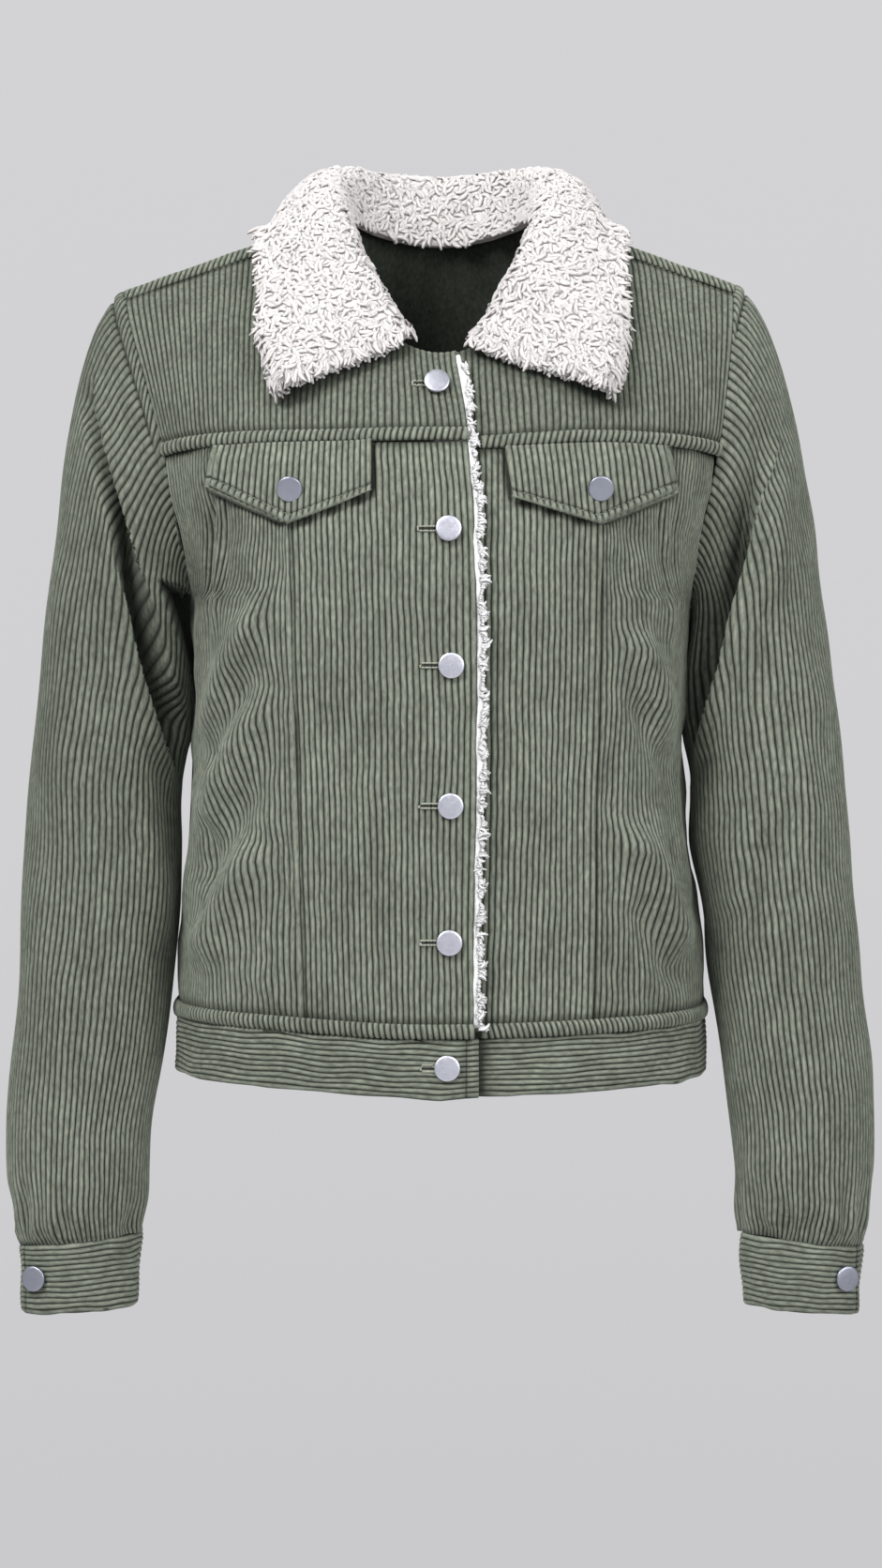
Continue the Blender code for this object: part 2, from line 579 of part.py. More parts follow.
def make_sleeve(side):
    """A tube from the armhole to the cuff."""
    sign = SHAPE[side]["sign"]
    loop = armhole_loop(side)
    top = sleeve_ring(side, SLEEVE[-1][0])
    below = sleeve_ring(side, SLEEVE[-1][0] - 0.01)
    share = (1.0 - np.cos(np.linspace(0.0, 2.0 * math.pi, SLEEVE_COLUMNS, endpoint=False))) / 2.0
    down = -0.34 - 0.26 * np.sqrt(share)
    leaving = np.stack([sign * np.sqrt(1.0 - down**2), np.zeros_like(down), down], axis=1)
    loop = loop + leaving * blend(0.0016, 0.0006, share)[:, None]
    arriving = below - top
    arriving /= np.linalg.norm(arriving, axis=1, keepdims=True)
    span = np.linalg.norm(top - loop, axis=1, keepdims=True)
    pull = blend(0.50, 0.80, np.sin(math.pi * share) ** 2)[:, None]
    cap = [hermite(loop, leaving * span * pull, top, arriving * span * 0.84, t) for t in spread(0.0, 1.0, CAP_ROWS)]
    heights = SLEEVE[-1][0] + (SLEEVE[0][0] - SLEEVE[-1][0]) * spread(0.0, 1.0, ARM_ROWS)[1:]
    arm = [sleeve_ring(side, z) for z in heights]
    grid = np.array(cap + arm)[::-1]
    if side == "right":
        grid = grid[:, ::-1]
    grid = folded(grid, f"sleeve_{side}", sign, closed=True)
    return add_wall(f"sleeve_{side}", grid, CLOTH, closed=True)


def make_cuff(side):
    """A strip round the wrist whose upper end laps over its lower end outside."""
    sign = SHAPE[side]["sign"]
    z = SLEEVE[0][0]
    outer = SLEEVE[0][1 if side == "left" else 2] + 0.0012
    inner, front, back = SLEEVE[0][3] - 0.0015, SLEEVE[0][4] - 0.0015, SLEEVE[0][5] + 0.0015
    end = math.pi / 2.0 - CUFF_END
    under = math.pi / 2.0 - CUFF_UNDER
    turn = spread(end, 2.0 * math.pi + under, CUFF_COLUMNS)
    lift = CUFF_LIFT * (1.0 - ease(turn, under + 0.25, under + 0.9))
    rows = []
    for share in (1.0, 0.5, 0.0):
        ring = ring_points(sign, outer, inner, front, back, z, turn, blend(1.0, CUFF_TAPER, share))
        centre = np.array([sign * (outer + inner) / 2.0, (front + back) / 2.0, 0.0])
        outward = ring - centre
        outward[:, 2] = 0.0
        outward /= np.linalg.norm(outward, axis=1, keepdims=True)
        ring = ring + outward * lift[:, None]
        ring[:, 2] -= SEAM + CUFF_HEIGHT * share
        rows.append(ring)
    grid = np.array(rows)
    return add_wall(f"cuff_{side}", grid, BAND_CLOTH, flip=side == "right")


# ---------------------------------------------------------------- collar
def shoulders_tree():
    """The outer face of the yoke and upper back, for the collar to lie on."""
    verts, faces = [], []
    for side in ("left", "right"):
        for face in (FRONT, BACK):
            whole = girth(YOKE_LEVEL, face)
            grid = upper_part(face, side, np.linspace(0.0, whole, 40), np.linspace(0.0, 1.0, 40))
            if face * SHAPE[side]["sign"] > 0:
                grid = grid[:, ::-1]
            if face == FRONT and side == "left":
                grid = grid + normals_of(grid) * lap_lift(grid[:, :, :1])
            base = len(verts)
            verts += [Vector(point) for point in grid.reshape(-1, 3).tolist()]
            faces += [(base + r * 40 + c, base + r * 40 + c + 1, base + r * 40 + c + 41, base + r * 40 + c + 40)
                      for r in range(39) for c in range(39)]
    return BVHTree.FromPolygons(verts, faces)


def neck_seam(side, degrees):
    """Where the collar stands on the neckline, at an angle round it from the centre of the back."""
    turn = math.radians(degrees)
    face = BACK if degrees <= 90.0 else FRONT
    point = top_line(face, side, np.array([NECK_HALF * math.sin(turn)]))[0][0]
    inward = np.array([-SHAPE[side]["sign"] * math.sin(turn), -math.cos(turn), 0.0])
    return point + inward * COLLAR_INSET + np.array([0.0, 0.0, COLLAR_RAISE])


def collar_base():
    """The sheet between pile and under collar, from the neck seam over the roll to the leaf's edge."""
    tree = shoulders_tree()
    columns = []
    for place in spread(-1.0, 1.0, COLLAR_COLUMNS):
        side = "left" if place < 0.0 else "right"
        sign = SHAPE[side]["sign"]
        values = [float(column_curve(COLLAR, i)(abs(place))) for i in range(1, 9)]
        neck = neck_seam(side, values[7])
        fold, leaf = (np.array(values[i:i + 3]) * (sign, 1.0, 1.0) for i in (0, 3))
        leaf[0] *= blend(1.0, SHAPE[side]["tip"], ease(abs(place), 0.6, 1.0))
        if side == "left" and values[7] > 90.0:
            neck, fold = (point + LAP_WAY * lap_lift(point[0]) for point in (neck, fold))
        away = blend(fold, leaf, 0.5) * (1.0, 1.0, 0.0)
        arch = (away / np.linalg.norm(away) * 0.5 + np.array([0.0, 0.0, 0.85])) * values[6]
        stand, fall = fold - neck, leaf - fold
        reach = min(COLLAR_ROUND, 0.8 * np.linalg.norm(stand))
        before = fold - stand / np.linalg.norm(stand) * reach
        share = reach / np.linalg.norm(fall)
        after = fold + fall * share + arch * math.sin(math.pi * share ** 0.8)
        turned = [blend(blend(before, fold, t), blend(fold, after, t), t) for t in (0.0, 0.25, 0.5, 0.75, 1.0)]
        points = [*turned[2:]]
        points += [blend(fold, leaf, share) + arch * math.sin(math.pi * share ** 0.8) for share in LEAF_SHARES]
        column = [neck, *turned[:2]]
        column += [rest_on(tree, point, COLLAR_REST, point is points[-1]) for point in points]
        columns.append(column)
    return np.array(columns).transpose(1, 0, 2)


def rest_on(tree, point, height, always):
    """The point lifted to a height off the cloth, or laid at that height if it always rests on it."""
    spot, normal, _, _ = tree.find_nearest(Vector(point))
    spot, normal = np.array(spot), np.array(normal)
    above = float(np.dot(np.array(point) - spot, normal))
    beside = np.linalg.norm(np.array(point) - spot - normal * above)
    if beside > 0.002 and not always:
        return np.array(point)
    if always or above < height:
        return spot + normal * height
    return np.array(point)


def make_collar():
    grid = collar_base()
    add_wall("collar", grid, PILE, PILE_CLOTH, outward=True, even=False)
    under = grid - normals_of(grid) * COLLAR_LAYER
    add_wall("under_collar", under, LINING_CLOTH, even=False)


# ---------------------------------------------------------------- flaps and buttons
def make_flap(side):
    """A pointed flap that lies on the panels under the yoke's rolled seam."""
    sign = SHAPE[side]["sign"]
    sizes = FLAPS[side]
    point_share = (sizes["point"] - sizes["bottom"][1]) / (sizes["bottom"][0] - sizes["bottom"][1])
    shares = np.concatenate([spread(0.0, point_share, 4), spread(point_share, 1.0, 4)[1:]])
    rows = []
    for down in spread(1.0, 0.0, 3):
        row = []
        for share in shares:
            x_top = blend(sizes["top"][1], sizes["top"][0], share)
            x_low = blend(sizes["bottom"][1], sizes["bottom"][0], share)
            tip = 1.0 - abs(share - point_share) / (point_share if share < point_share else 1.0 - point_share)
            z_low = blend(FLAP_CORNER, FLAP_POINT, tip)
            row.append(front_point(sign * blend(x_top, x_low, down), blend(FLAP_TOP, z_low, down)))
        rows.append(row)
    grid = np.array(rows)
    normal = normals_of(grid if side == "right" else grid[:, ::-1])
    if side == "left":
        normal = normal[:, ::-1]
    lift = FLAP_LIFT + (lap_lift(grid[:, :, 0:1]) if side == "left" else 0.0)
    grid = grid + normal * lift
    return add_wall(f"pocket_flap_{side}", grid, CLOTH, flip=side == "left")


def add_button(name, centre, outward):
    """A domed metal button whose back stands at centre."""
    profile = ((0.0, 0.0), (0.80, 0.0), (1.0, 0.25), (1.0, 0.65), (0.94, 0.88), (0.60, 1.0), (0.0, 1.0))
    verts, faces = [], []
    for ring, (radius, height) in enumerate(profile[1:-1]):
        for i in range(BUTTON_SIDES):
            angle = 2.0 * math.pi * i / BUTTON_SIDES
            verts.append((BUTTON_RADIUS * radius * math.cos(angle), BUTTON_RADIUS * radius * math.sin(angle),
                          BUTTON_DEPTH * height))
        if ring:
            for i in range(BUTTON_SIDES):
                j = (i + 1) % BUTTON_SIDES
                low, high = (ring - 1) * BUTTON_SIDES, ring * BUTTON_SIDES
                faces.append((low + i, low + j, high + j, high + i))
    faces.append(tuple(range(BUTTON_SIDES))[::-1])
    faces.append(tuple(range((len(profile) - 3) * BUTTON_SIDES, (len(profile) - 2) * BUTTON_SIDES)))
    mesh = bpy.data.meshes.new(name)
    mesh.from_pydata(verts, [], faces)
    piece = add_object(name, mesh, METAL)
    turn = Vector(outward).to_track_quat("Z", "Y").to_matrix().to_4x4()
    piece.matrix_world = Matrix.Translation(Vector(centre)) @ turn
    return piece


def on_surface(names, x, z, from_y=-0.5):
    """The first point of the named pieces that a look along +Y meets, and the outward direction there."""
    depsgraph = bpy.context.evaluated_depsgraph_get()
    hits = [BVHTree.FromObject(bpy.data.objects[name], depsgraph).ray_cast(Vector((x, from_y, z)), Vector((0, 1, 0)))
            for name in names]
    hits = [hit for hit in hits if hit[0] is not None]
    nearest = min(hits, key=lambda hit: hit[3])
    return np.array(nearest[0]), np.array(nearest[1])


def make_buttons():
    cloth = ("front_yoke_left", "front_centre_left", "hem_band")
    for number, (x, z) in enumerate(FRONT_BUTTONS, start=1):
        spot, outward = on_surface(cloth, x, z)
        add_button(f"button_front_{number}", spot + outward * LAYER, outward)
    for side, (x, z) in FLAP_BUTTONS.items():
        spot, outward = on_surface((f"pocket_flap_{side}",), x, z)
        add_button(f"button_flap_{side}", spot + outward * LAYER, outward)


def make_cuff_buttons():
    depsgraph = bpy.context.evaluated_depsgraph_get()
    for side in ("left", "right"):
        sign = SHAPE[side]["sign"]
        tree = BVHTree.FromObject(bpy.data.objects[f"cuff_{side}"], depsgraph)
        outer, inner = SLEEVE[0][1 if side == "left" else 2], SLEEVE[0][3]
        z = SLEEVE[0][0] - CUFF_HEIGHT * 0.53
        centre = Vector((sign * (outer + inner) / 2.0, (SLEEVE[0][4] + SLEEVE[0][5]) / 2.0, z))
        way = Vector((sign * math.sin(math.radians(46)), -math.cos(math.radians(46)), 0.0))
        spot, outward, _, _ = tree.ray_cast(centre + way * 0.2, -way)
        add_button(f"button_cuff_{side}", np.array(spot) + np.array(outward) * LAYER, outward)


def build():
    for old in list(bpy.data.objects):
        bpy.data.objects.remove(old)
    jacket = bpy.data.collections.new("corduroy_jacket")
    bpy.context.scene.collection.children.link(jacket)
    for side in ("left", "right"):
        make_front_panels(side)
        make_front_yoke(side)
    make_back()
    make_hem_band()
    make_front_facing()
    for side in ("left", "right"):
        make_sleeve(side)
        make_cuff(side)
        make_flap(side)
    bpy.context.view_layer.update()
    make_collar()
    make_buttons()
    make_cuff_buttons()


build()
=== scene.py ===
"""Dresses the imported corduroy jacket: ribbed cloth with its folds and seams, curled pile, satin buttons and a studio.

Metres, +Z up, the wearer faces -Y. "left" and "right" are as seen from the front, so left is -X. Grids of points have
their rows upwards and their columns to the right as seen from outside.
"""

import math

import bpy
import numpy as np
from bpy.props import FloatProperty, FloatVectorProperty, IntProperty, PointerProperty
from mathutils import Matrix, Vector
from mathutils.bvhtree import BVHTree


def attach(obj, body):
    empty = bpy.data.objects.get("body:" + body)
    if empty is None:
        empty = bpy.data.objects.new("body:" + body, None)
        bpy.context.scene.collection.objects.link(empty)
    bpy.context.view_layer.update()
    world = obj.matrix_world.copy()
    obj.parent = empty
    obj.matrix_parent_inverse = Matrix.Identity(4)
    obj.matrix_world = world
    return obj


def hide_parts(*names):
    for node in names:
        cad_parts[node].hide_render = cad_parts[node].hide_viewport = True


bl_info = {
    "name": "Corduroy jacket",
    "version": (1, 0, 0),
    "blender": (4, 5, 0),
    "location": "View3D > Sidebar > Jacket",
    "description": "Builds the visible cloth, pile, seams and buttons of a corduroy jacket, and a plain studio",
    "category": "Object",
}

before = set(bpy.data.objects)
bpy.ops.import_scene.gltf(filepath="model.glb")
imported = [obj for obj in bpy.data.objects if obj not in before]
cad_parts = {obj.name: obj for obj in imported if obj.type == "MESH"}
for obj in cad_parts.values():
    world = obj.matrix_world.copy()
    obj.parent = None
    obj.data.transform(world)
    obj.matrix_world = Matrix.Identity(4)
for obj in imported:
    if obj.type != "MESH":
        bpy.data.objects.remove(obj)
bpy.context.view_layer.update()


def metres(table):
    """A table given in millimetres, in metres. Its keys stay."""
    if isinstance(table, dict):
        return {key: metres(value) for key, value in table.items()}
    if isinstance(table, tuple):
        return tuple(metres(value) for value in table)
    return round(table / 1000.0, 7)


# ---- the jacket's form, its tables in millimetres
SEAM = 0.0004    # gap between pieces that are sewn together
SHOULDER_SEAM = 0.0014
FRONT, BACK = -1, 1     # sign of y on each face of the torso
SQUARENESS = 2.3

# Torso levels from the hem up: height, x of the side seam or armhole, depth in front, depth behind.
TORSO = metres((
    (-545, 164.5, 121, 113),
    (-500, 162.5, 121, 112),
    (-440, 159.5, 124, 106),
    (-380, 155, 126, 102),
    (-320, 152.3, 129, 103),
    (-262, 152.5, 131, 109),
    (-247, 153.5, 130.5, 111),
    (-231, 155, 129, 113),
    (-203, 158.5, 125, 116),
    (-184, 163, 121, 117),
    (-150, 169, 110, 116),
))
HEM_LEVEL = -0.497
WAIST = -0.33    # where the width of a panel counts for its number of wales
HEM_DIP = 0.009
YOKE_LEVEL = -0.157
YOKE_RISE = 0.0052
YOKE_HALF = 0.19    # length of the yoke's edge on each side, nearly
YOKE_SAG = 0.005    # how far the line drops towards the front edge of the lower (right) front
BODY_HEIGHT = YOKE_LEVEL - HEM_LEVEL
HEM_RAISED = {-1: 0.0026, 1: 0.0008}    # how far the hem of each front is drawn up between its centre and its side
# How far the band's lower edge is drawn up on each side, over the share of the way from the centre to the side.
BAND_RAISED = {-1: ((0.0, -0.0005), (0.11, 0.0011), (0.29, 0.0024), (0.41, 0.0036), (0.5, 0.0043), (1.0, 0.0043)),
               1: ((0.0, 0.0015), (0.35, 0.0018), (0.5, 0.0026), (1.0, 0.0026))}
BAND_HEIGHT = 0.0365
BAND_END = 0.0217
BAND_LENGTH = 1.05
BAND_STITCHING = (0.0072, 0.008, 0.0088)    # columns at its end: beside, on and beside the stitched line
ROLL_HEIGHT = 0.008
ROLL_ROWS = 9    # rows of points across a rolled seam
ROLL_SINK = 0.0006    # how far a rolled seam's edges reach into the cloth
ROLL_TAPER = 0.018    # length over which an end of a rolled seam grows flat
ROLL_FLAT = 0.55    # how flat such an end is

ARMHOLE_BOTTOM = -0.247
ARMHOLE_LEVEL = -0.165
ARMHOLE_DEPTH = {FRONT: 0.057, BACK: 0.054}

NECK_HALF = 0.064
NECK_DROP = 0.091
NECK_FRONT = -0.076
NAPE = (0.06, -0.015, 0.004)
SHOULDER_Y = -0.008
SHOULDER_NECK_Z = -0.006
UNDERLAP = 0.012
DRAWN_IN = 0.034    # how much narrower the right side is at its waist
COLUMN = 0.124    # length of a column of the yoke on which the rolled seam takes its plain share

FRONT_EDGE = metres(((-506, 19.5), (-420, 19.5), (-360, 20.8), (-300, 21.2), (-240, 20.5), (-190, 19), (-149, 15.5),
                     (-125, 15), (-97, 9)))
LAP_LIFT = 0.006
LAP_START, LAP_FULL = -0.06, -0.016
LAP_WAY = np.array([0.0, -0.8, 0.6])
FACING_TOP = -0.101
NECK_START = -0.0095    # where the neckline of the upper front begins, past the centre line

SIGN = {"left": -1, "right": 1}    # sign of x on each side
SHAPE = {
    "left": {"shoulder": (0.1945, -0.0525), "princess": (0.081, 0.092), "tip": 1.0},
    "right": {"shoulder": (0.1805, -0.0485), "princess": (0.09, 0.0975), "tip": 1.05},
}

# Sleeve levels from the cuff up: height, x outside on the left and on the right sleeve, x inside, y in front, behind.
SLEEVE = metres((
    (-633, 256, 255, 184, -57, 4),
    (-622, 261.5, 260.5, 182.8, -64, 12),
    (-598, 265, 264, 180.5, -68, 20),
    (-565, 266.2, 265.2, 178, -69, 26),
    (-532, 265, 264, 172.7, -67, 32),
    (-497, 262.8, 260.8, 168, -65, 38),
    (-445, 259.3, 256, 162.2, -62, 46),
    (-393, 256, 252, 159.5, -60, 53),
    (-358, 254, 249, 159, -59, 57),
    (-323, 251.5, 245.5, 149.8, -58, 61),
    (-285, 247.5, 241, 149.6, -57, 65),
))
SLEEVE_INNER = metres({
    "left": ((-430, 0), (-390, 1), (-360, 2), (-335, 5.8), (-318, 5), (-290, 0)),
    "right": ((-440, 0), (-395, -4.5), (-360, -6.5), (-335, -1.8), (-323, 0)),
})
SLEEVE_TILT = 0.004
SLEEVE_GAP = 0.0006    # between the sleeve's top and the armhole
CUFF_HEIGHT = 0.0432
CUFF_LENGTH = 0.26
CUFF_PITCH = 0.0034    # width of one of its wales
CUFF_STITCHING = (0.0055, 0.0063, 0.0071)    # columns at its end: beside, on and beside the stitched line
CUFF_TAPER = 0.94
CUFF_END = math.radians(66)
CUFF_UNDER = math.radians(25)
CUFF_LIFT = 0.0024
CUFF_WIDER = 0.0008

# Half of the pile collar, from the centre of the back to the front corner: share of the way, the roll's x y z, the
# leaf edge's x y z, how far the leaf arches between them, and degrees round the neckline.
COLLAR = (
    (0.0, 0.0, 0.064, 0.024, 0.0, 0.102, -0.036, 0.006, 0.0),
    (0.15, 0.033, 0.058, 0.026, 0.044, 0.097, -0.034, 0.008, 28.0),
    (0.3, 0.056, 0.04, 0.026, 0.082, 0.072, -0.027, 0.013, 52.0),
    (0.42, 0.065, 0.018, 0.019, 0.101, 0.033, -0.019, 0.012, 69.0),
    (0.53, 0.0635, -0.008, 0.004, 0.107, -0.005, -0.022, 0.008, 92.0),
    (0.64, 0.057, -0.028, -0.014, 0.108, -0.044, -0.05, 0.005, 106.0),
    (0.75, 0.049, -0.045, -0.034, 0.106, -0.068, -0.076, 0.003, 121.0),
    (0.85, 0.04, -0.059, -0.052, 0.103, -0.085, -0.095, 0.002, 135.0),
    (0.93, 0.0315, -0.0685, -0.067, 0.1, -0.094, -0.106, 0.001, 147.0),
    (1.0, 0.0225, -0.0765, -0.0815, 0.097, -0.1, -0.113, 0.0, 157.0),
)
COLLAR_INSET = 0.004
COLLAR_RAISE = 0.003
COLLAR_REST = 0.005
COLLAR_LAYER = 0.0008
COLLAR_ROUND = 0.008
COLLAR_HANG = 0.0085
COLLAR_EDGE = metres({
    "left": ((15.9, -85), (50, -101), (93, -121.5)),
    "right": ((18.7, -90), (58, -106), (101, -123.5)),
})
LEAF_SHARES = (0.24, 0.34, 0.44, 0.54, 0.64, 0.74, 0.83, 0.91, 0.97, 1.0)

FLAPS = metres({
    "left": {"top": (136, 40.5), "bottom": (139.6, 40), "corners": (-176.7, -182.8), "point": 90.7},
    "right": {"top": (135.8, 37.7), "bottom": (140.2, 41.4), "corners": (-180, -186.2), "point": 94},
})
FLAP_TOP = -0.1535
FLAP_POINT = -0.201
FLAP_LIFT = 0.004
FLAP_LAYER = 0.0022    # thickness of a flap

# Front buttons from the neck down: x and z. Then how far each buttonhole reaches out from its button's middle.
FRONT_BUTTONS = metres(((-2.5, -116), (4.5, -204.5), (6, -285.5), (5.6, -368.5), (4.9, -449.5), (3.6, -524)))
# The buttonhole's slit is a thread painted nearly black: painted shadow in the cut.
SLIT_SHADE = 0.06    # how dark a buttonhole's slit is
BUTTONHOLES = metres((14.5, 18, 18, 18, 17.5, 15.5))

# Folds of the body: depth (below 0 is a trough), half width, how far the wales shift along x, and the path as x away
# from the centre line and z.
FOLDS = metres({
    "side_left": (
        (5.1, 10, 3.6, ((98, -240), (126, -285), (149, -330))),
        (-3, 7, -1.8, ((110, -282), (130, -316), (147, -350))),
        (6, 11, 4.3, ((98, -298), (126, -345), (150, -388))),
        (-3.3, 8, -2.2, ((108, -352), (130, -388), (150, -420))),
        (5.1, 11, 4, ((106, -385), (130, -430), (150, -468))),
        (-2.6, 3, 1, ((125, -160), (129, -200), (128, -250))),
        (-3, 2.8, -1, ((137, -165), (139, -215), (143, -262), (141, -310))),
        (2.2, 3, 0.8, ((132, -175), (134, -225), (137, -280))),
        (-2.8, 2.6, 1, ((146, -200), (149, -250), (147, -320), (150, -390))),
        (-2.2, 3, -0.8, ((136, -330), (141, -380), (139, -440))),
    ),
    "side_right": (
        (6, 11, 4.3, ((110, -258), (128, -296), (146, -336))),
        (-3, 7, -1.8, ((112, -300), (130, -335), (146, -366))),
        (5.4, 12, 4, ((110, -374), (132, -422), (152, -462))),
        (-2.4, 8, -1.8, ((112, -420), (130, -450), (146, -480))),
        (-2.6, 3, -1, ((131, -162), (133, -205), (137, -255))),
        (-3, 2.8, 1, ((141, -175), (140, -225), (145, -285))),
        (2.2, 3, -0.8, ((136, -180), (137, -235), (141, -300))),
        (-2.8, 2.6, -1, ((149, -205), (147, -270), (151, -350), (149, -410))),
        (-2.2, 3, 0.8, ((138, -320), (136, -370), (141, -440))),
    ),
    "centre_left": (
        (1.2, 12, 0.6, ((30, -330), (52, -400), (66, -470))),
    ),
    "centre_right": (
        (1.2, 12, 0.6, ((36, -300), (58, -380), (74, -460))),
    ),
    "back": (
        (3.2, 12, 1.6, ((74, -292), (104, -345), (126, -388))),
        (3.2, 12, -1.6, ((-72, -282), (-100, -335), (-124, -378))),
        (2.6, 11, 1.2, ((82, -370), (110, -418), (132, -456))),
        (2.6, 11, -1.2, ((-84, -360), (-112, -410), (-134, -448))),
        (-1.8, 10, 0, ((34, -235), (30, -330), (40, -430))),
        (-1.8, 10, 0, ((-40, -215), (-34, -320), (-46, -420))),
        (2.4, 12, 1, ((150, -160), (128, -205), (112, -255))),
        (2.4, 12, -1, ((-148, -160), (-126, -200), (-110, -250))),
    ),
})

# The long fold down the front of each sleeve, as a recess between an inner and an outer line of z and x.
RECESS = metres({
    "left": {
        "inner": ((-119, 211.6), (-158, 200.2), (-195, 189.7), (-221, 182.5), (-246, 173.5), (-280, 164),
                  (-292, 161.2), (-340, 144), (-420, 140)),
        "outer": ((-119, 226), (-206, 201.7), (-241, 194.2), (-276, 186.2), (-300, 179.4), (-321, 173.1),
                  (-338, 167.4), (-368, 157.7), (-391, 155.5), (-420, 155)),
        "inner_rise": ((-100, 3), (-200, 3.5), (-246, 7), (-280, 9), (-420, 9)),
        "outer_rise": ((-119, 13.5), (-190, 11), (-225, 4), (-420, 2.8)),
        "depth": ((-106, 0), (-130, 10), (-170, 18), (-280, 26), (-330, 24), (-380, 8), (-420, 0)),
    },
    "right": {
        "inner": ((-150, 175), (-192, 163), (-221.5, 155.4), (-253, 146.3), (-284, 139.4), (-313, 130.3),
                  (-347.5, 118.3)),
        "outer": ((-150, 207), (-192, 194.8), (-221.5, 187.4), (-253, 178.3), (-284, 171.4), (-313, 162.3),
                  (-336, 155.4), (-347.5, 150.3)),
        "inner_rise": ((-100, 30), (-420, 30)),
        "outer_rise": ((-150, 14), (-200, 5), (-250, 3.2)),
        "depth": ((-130, 0), (-170, 8), (-220, 18), (-280, 24), (-330, 20), (-360, 6), (-385, 0)),
    },
})
# The dark hollow under the left sleeve's bunched cap, as corners of x away from the centre line and z.
HOLLOW = metres(((173, -230), (145, -239), (146.5, -313)))
# A factor on the colour of each sleeve, over z: 1 at the cuff and lower above it, most of all on the left sleeve.
SLEEVE_TONE = {"left": ((-0.64, 1.0), (-0.56, 0.99), (-0.46, 0.91), (-0.3, 0.86), (-0.05, 0.86)),
              "right": ((-0.64, 1.0), (-0.56, 0.97), (-0.46, 0.94), (-0.3, 0.96), (-0.05, 0.98))}
# Softer folds of the sleeves, by face: depth, half width, and the path as x away from the centre line and z.
SLEEVE_FOLDS = metres({
    "left": {
        FRONT: (
            (-2.5, 5, ((212.5, -255), (207, -285), (201, -318))),
            (-2, 5, ((193, -346), (188, -370), (185, -395))),
            (2.5, 9, ((187, -335), (178, -385), (171, -430), (170, -466))),
            (-2, 7, ((176, -330), (166, -370), (163, -420))),
            (2, 10, ((240, -180), (233, -250), (228, -320), (230, -400))),
            (-1.6, 8, ((215, -400), (210, -470), (214, -540))),
            (1.6, 9, ((236, -440), (230, -510), (234, -580))),
        ),
        BACK: (
            (-7, 12, ((220, -230), (200, -290), (176, -350))),
            (3, 11, ((234, -220), (214, -300), (190, -380))),
            (-2.5, 9, ((230, -330), (208, -400), (196, -470))),
        ),
    },
    "right": {
        FRONT: (
            (3, 10, ((212, -126), (213.6, -170), (210, -195), (204.5, -221.5), (201, -257))),
            (-2.5, 8, ((219, -160), (216, -210), (209, -260))),
            (-4.5, 3, ((185, -176), (180, -200), (171.4, -232), (169, -256))),
            (-2.5, 5, ((197.6, -240), (195, -270), (196, -300))),
            (3, 8, ((194.8, -366), (181.1, -399), (176, -441))),
            (-2.5, 7, ((203, -370), (193, -405), (188, -450))),
            (2, 10, ((230, -280), (224, -350), (226, -420))),
            (-1.6, 8, ((212, -440), (208, -500), (212, -560))),
        ),
        BACK: (
            (-7, 12, ((214, -240), (196, -300), (174, -360))),
            (3, 11, ((228, -230), (208, -310), (186, -390))),
            (-2.5, 9, ((224, -350), (204, -420), (194, -480))),
        ),
    },
})

# One wale: where its columns lie, as shares of its width, and how high the pile stands there.
WALE_PLACES = np.array([0.0, 0.18, 0.5, 0.82])
WALE_PILE = np.array([0.0, 0.78, 1.0, 0.78])
STRIP_PLACES = np.array([0.0, 0.22, 0.5, 0.78])
SLEEVE_WALES = 80
GROOVE_SHADE = 0.35    # shade of the cloth's inner face


# ---- settings
class JacketClothSettings(bpy.types.PropertyGroup):
    """Sizes and colours of the corduroy"""

    wale_pitch: FloatProperty(name="Wale pitch", description="Width of one wale of the corduroy",
                              default=0.00375, min=0.002, max=0.006, unit="LENGTH", precision=5)
    wale_depth: FloatProperty(name="Wale depth", description="Height of the pile of a wale over the groove beside it",
                              default=0.0013, min=0.0, max=0.002, unit="LENGTH", precision=5)
    thickness: FloatProperty(name="Thickness", description="Thickness of one layer of corduroy",
                             default=0.002, min=0.001, max=0.003, unit="LENGTH", precision=5)
    crest_colour: FloatVectorProperty(name="Crest", description="Colour of the pile on top of a wale",
                                      default=(0.204, 0.226, 0.181), size=3, min=0.0, max=1.0, subtype="COLOR")
    # The groove colour is the ground's own darker colour, darkened further as painted shade in the grooves.
    groove_colour: FloatVectorProperty(name="Groove", description="Colour of the ground between two wales",
                                       default=(0.015, 0.018, 0.0125), size=3, min=0.0, max=1.0, subtype="COLOR")
    thread_colour: FloatVectorProperty(name="Thread", description="Colour of the sewing thread",
                                       default=(0.39, 0.41, 0.33), size=3, min=0.0, max=1.0, subtype="COLOR")


class JacketPileSettings(bpy.types.PropertyGroup):
    """Sizes and colours of the curled pile"""

    curls: IntProperty(name="Curls", description="Number of curls on the collar", default=4500, min=100, max=4600)
    curl_length: FloatProperty(name="Curl length", description="Length of one curl of the pile",
                               default=0.01, min=0.003, max=0.012, unit="LENGTH", precision=5)
    curl_radius: FloatProperty(name="Curl radius", description="Half the thickness of one curl",
                               default=0.00148, min=0.0004, max=0.002, unit="LENGTH", precision=5)
    shell: FloatProperty(name="Backing", description="Thickness of the dense pile under the curls",
                         default=0.0045, min=0.002, max=0.007, unit="LENGTH", precision=5)
    tip_colour: FloatVectorProperty(name="Tips", description="Colour of the ends of the curls",
                                    default=(0.668, 0.641, 0.626), size=3, min=0.0, max=1.0, subtype="COLOR")
    root_colour: FloatVectorProperty(name="Roots", description="Colour of the pile between the curls",
                                     default=(0.68, 0.622, 0.585), size=3, min=0.0, max=1.0, subtype="COLOR")


